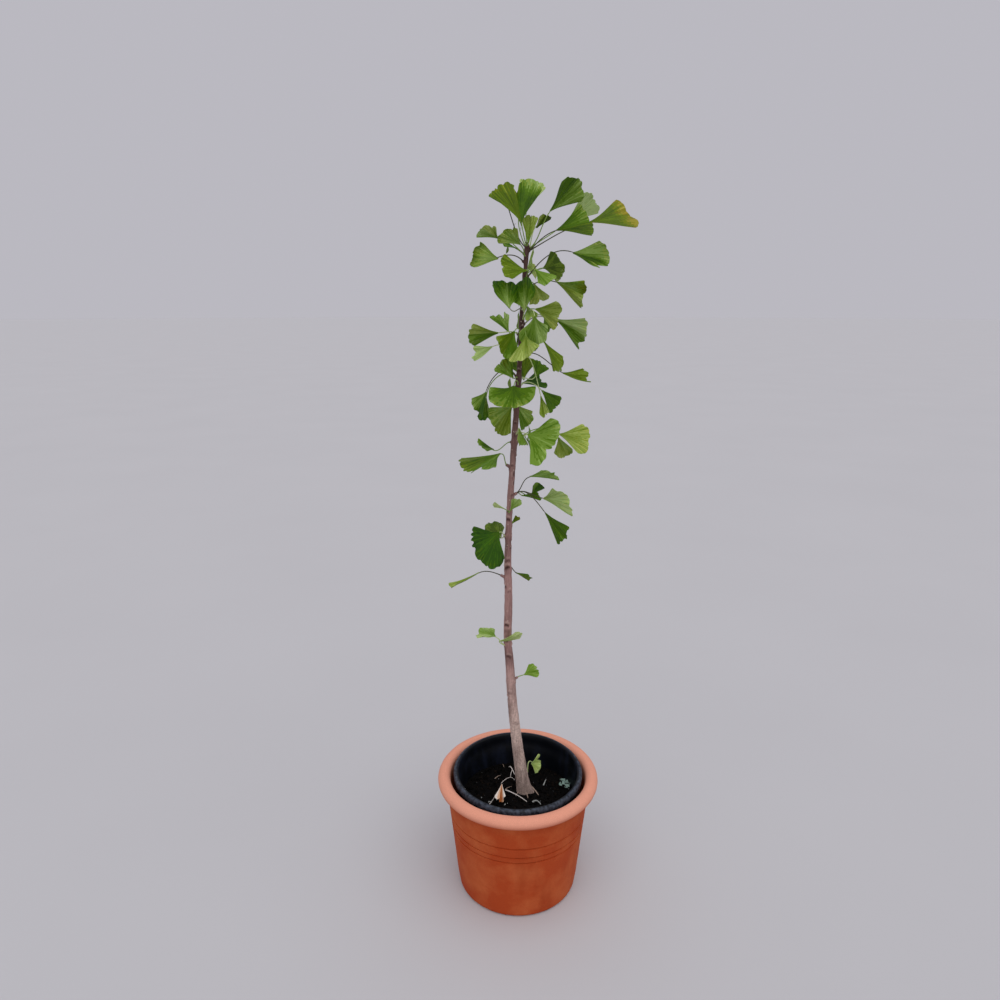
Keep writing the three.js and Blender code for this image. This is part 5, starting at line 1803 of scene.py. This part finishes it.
@dataclass
class Litter:
    """Crumbs, grit, straw, a dead leaf and a few seedlings on the compost."""

    bed: SoilBed
    seed: int = 5
    crumbs: int = 1300
    crumb_sizes: Pair = (0.9, 3.4)
    crumb_colours: dict[str, str] = field(default_factory=lambda: {
        "peat_crumb_black": "#040303", "peat_crumb_brown": "#0B0807", "peat_crumb_bark": "#17110D"})
    grit: int = 60
    grit_sizes: Pair = (0.5, 1.7)
    grit_colours: dict[str, str] = field(default_factory=lambda: {
        "grit_grey": "#56585A", "grit_pale": "#8F9190", "grit_brown": "#453D37"})
    wall_clearance: float = 2.5
    stem_clearance: float = 15.0
    stem_place: Pair = (11.0, 9.0)
    strands: tuple[Strand, ...] = (
        Strand(((-20, 8, 5), (-9, -1, 7), (4, -11, 5), (14.5, -20, 2)), 1.0),
        Strand(((-47, -28, 1), (-42, -20, 4), (-38, -12, 6), (-33, -2, 5)), 0.75),
        Strand(((-13, 75, 2), (-11, 70, 9), (-7, 62, 7), (-4, 55, 2)), 1.1),
        Strand(((-8, 62, 5), (-9, 58, 5), (-11, 53, 4), (-11, 47, 1)), 0.7),
        Strand(((-27, 31, 1), (-20, 41, 4), (-9, 47, 6), (-4, 39, 2)), 0.65),
        Strand(((-20, 15, 1), (-16, 16, 3), (-13, 19, 3), (-9, 20, 2)), 0.5, Dryness.ROOT),
        Strand(((-38, 44, 1), (-35, 46, 3), (-32, 50, 3), (-28, 53, 1)), 0.6, Dryness.ROOT),
        Strand(((-24, 87, 0), (-24, 83, 3), (-23, 79, 3), (-22, 75, 1)), 0.5, Dryness.ROOT),
        Strand(((44, 24, 2), (46, 28, 3), (47, 33, 4), (49, 37, 3)), 1.2, Dryness.CHIP),
        Strand(((24, -20, 1), (28, -17, 4), (33, -18, 4), (37, -25, 1)), 1.5, Dryness.CHIP),
        Strand(((-48, -19, 1), (-46, -18, 2), (-43, -19, 2), (-41, -20, 1)), 1.0, Dryness.CHIP),
        Strand(((-22, -27, 1), (-20, -24, 2), (-18, -22, 2), (-16, -22, 1)), 1.1, Dryness.CHIP),
        Strand(((20, 13, 8), (26, 9, 6), (31, 4, 3), (35, -1, -1)), 1.3, Dryness.ROOT),
        Strand(((16, 10, 8), (19, 5, 7), (20, 2, 4), (20, 0, -1)), 1.5),
        Strand(((13, 2, 4), (15, -3, 4), (16, -7, 2), (17, -10, -1)), 0.9, Dryness.ROOT),
        Strand(((3, 2, 4), (0, -1, 4), (-2, -3, 2), (-4, -4, -1)), 0.7, Dryness.ROOT),
    )
    dead_leaf: Leaf = Leaf(0, 0, 0, 267, 2, (90, 80), Fan(50, 30, 0.06, fold=42, ragged=1.6, flat=0.4))
    dead_leaf_place: Point = (-26.0, 20.0, 6.0)
    dead_leaf_tans: tuple[str, ...] = ("#B9713A", "#DDAF8A", "#EFE4D8")
    seedlings: tuple[Pair, ...] = ((77, 39), (87, 31), (75, 26), (83, 20), (81, 32))
    seedling_colour: str = "#8AA398"

    def on_bed(self, x: float, y: float, above: float = 0.0) -> np.ndarray:
        """A point on the compost, or that far above it."""
        return np.array([x, y, self.bed.height(x, y) + above])

    def scatter(self, count: int, sizes: Pair, rng: np.random.Generator) -> JoinedMesh:
        """Scatters angular crumbs over the compost, clear of the stem.

        Args:
            count: How many crumbs.
            sizes: The smallest and the largest radius, in mm.
            rng: Where the places and shapes are drawn from.

        Returns:
            The crumbs, each in one of three slots.
        """
        bpy.ops.object.select_all(action="DESELECT")
        bpy.ops.mesh.primitive_ico_sphere_add(subdivisions=1, radius=1.0)
        model = bpy.context.active_object
        shape = np.array([v.co[:] for v in model.data.vertices])
        faces = [tuple(f.vertices) for f in model.data.polygons]
        bpy.data.objects.remove(model)
        crumbs = JoinedMesh()
        while count:
            far = (self.bed.radius(self.bed.surface) - self.wall_clearance) * math.sqrt(rng.uniform())
            around = rng.uniform(0, FULL_TURN)
            x, y = far * math.cos(around), far * math.sin(around)
            if math.dist((x, y), self.stem_place) < self.stem_clearance:
                continue
            size = sizes[0] + (sizes[1] - sizes[0]) * rng.uniform() ** 3
            stretch = rng.uniform(0.5, 1.25, 3) * size
            turn, _ = np.linalg.qr(rng.normal(size=(3, 3)))
            turn *= np.sign(np.linalg.det(turn))
            points = (shape * rng.uniform(0.75, 1.2, (len(shape), 1)) * stretch) @ turn
            crumbs.add(points + self.on_bed(x, y, 0.35 * size), faces, int(rng.integers(0, 3)))
            count -= 1
        return crumbs

    def lay_strands(self) -> JoinedMesh:
        """Lays the straws, root ends and twigs."""
        strands = JoinedMesh()
        for strand in self.strands:
            path = bezier([self.on_bed(*control) for control in strand.path], 12)
            radii = strand.radius * np.linspace(1, 0.55, len(path))
            strands.add(*tube(path, radii, 6), list(Dryness).index(strand.kind))
        return strands

    def lay_dead_leaf(self, rng: np.random.Generator) -> JoinedMesh:
        """Lays the folded dead leaf."""
        rule = BladeRule(rng, strips=28, rings=10)
        points, places = rule.blade(self.dead_leaf, self.on_bed(*self.dead_leaf_place))
        faces = rule.faces()
        edge = [np.abs(2 * places[list(face), 0].mean() - 1) + 0.3 * places[face[0], 1] for face in faces]
        leaf = JoinedMesh()
        leaf.add(points, faces, [int(np.digitize(far, (0.42, 0.85))) for far in edge], places)
        return leaf

    def grow_seedlings(self, rng: np.random.Generator) -> JoinedMesh:
        """Grows the small blue-green seedlings, each with two or three tiny leaves."""
        rule = BladeRule(rng, strips=6, rings=4, thickness=0.4, stalk_width=0.8, tooth=0.0, lobing=0.0)
        rosettes = JoinedMesh()
        for x, y in self.seedlings:
            for i in range(3):
                tiny = Fan(float(rng.uniform(4, 6.5)), 95, 0.0, fold=10, curl=-20, ruffle=0.5)
                aim = 120 * i + float(rng.uniform(-40, 40))
                leaf = Leaf(0, 0, 0, aim, float(rng.uniform(10, 45)), (aim + 180, 70), tiny)
                points, places = rule.blade(leaf, self.on_bed(x, y, 2.0))
                rosettes.add(points, rule.faces(), 0, places)
        return rosettes

    def build(self) -> list[Piece]:
        """Makes each kind of litter as one joined piece."""
        rng = np.random.default_rng(self.seed)
        crumbs = self.scatter(self.crumbs, self.crumb_sizes, rng)
        grit = self.scatter(self.grit, self.grit_sizes, rng)
        strands = self.lay_strands()
        dead_leaf = self.lay_dead_leaf(rng)
        seedlings = self.grow_seedlings(rng)
        tans = {f"dead_leaf_tan_{i}": colour for i, colour in enumerate(self.dead_leaf_tans)}
        kinds = {f"dry_{kind.name.lower()}": kind.value for kind in Dryness}
        pieces = []
        for name, joined, colours, gloss, sharp_above in (
            ("compost_crumbs", crumbs, self.crumb_colours, 0.05, 20),
            ("grit_specks", grit, self.grit_colours, 0.3, 20),
            ("straw_and_root_ends", strands, kinds, 0.3, 60),
            ("dead_leaf", dead_leaf, tans, 0.3, 60),
            ("seedlings", seedlings, {"seedling_blue_green": self.seedling_colour}, 0.3, 60),
        ):
            skins = [DryFibre(skin, colour, gloss).material() for skin, colour in colours.items()]
            pieces.append(joined.build(name, skins, sharp_above))
        return pieces

    def dress(self, pieces: Sequence[Piece]) -> None:
        """Ties the litter to the frame."""
        for piece in pieces:
            hand_over(piece)


# ---------------------------------------------------------------- the whole plant


def main() -> None:
    """Builds the studio, the pots, the compost, the stem and the leaves in order."""
    logging.basicConfig(level=logging.INFO, format="%(message)s")
    Studio().build()
    terracotta = TerracottaPot()
    terracotta.dress(terracotta.build())
    nursery = NurseryPot()
    nursery.dress(nursery.build())
    bed = SoilBed(nursery)
    bed.dress(bed.build())
    bark = YoungBark().material()
    stem = Stem()
    buds = [(mass.height, mass.side) for mass in MASSES if mass.height > stem.swells_above]
    stem.dress(stem.build(buds), bark, "stem")
    for spur in SPURS:
        stem.dress(stem.build_spur(spur), bark, spur.name)
    foliage = Foliage(stem)
    foliage.dress(foliage.build(), bark)
    litter = Litter(bed)
    litter.dress(litter.build())


if __name__ == "__main__":
    main()
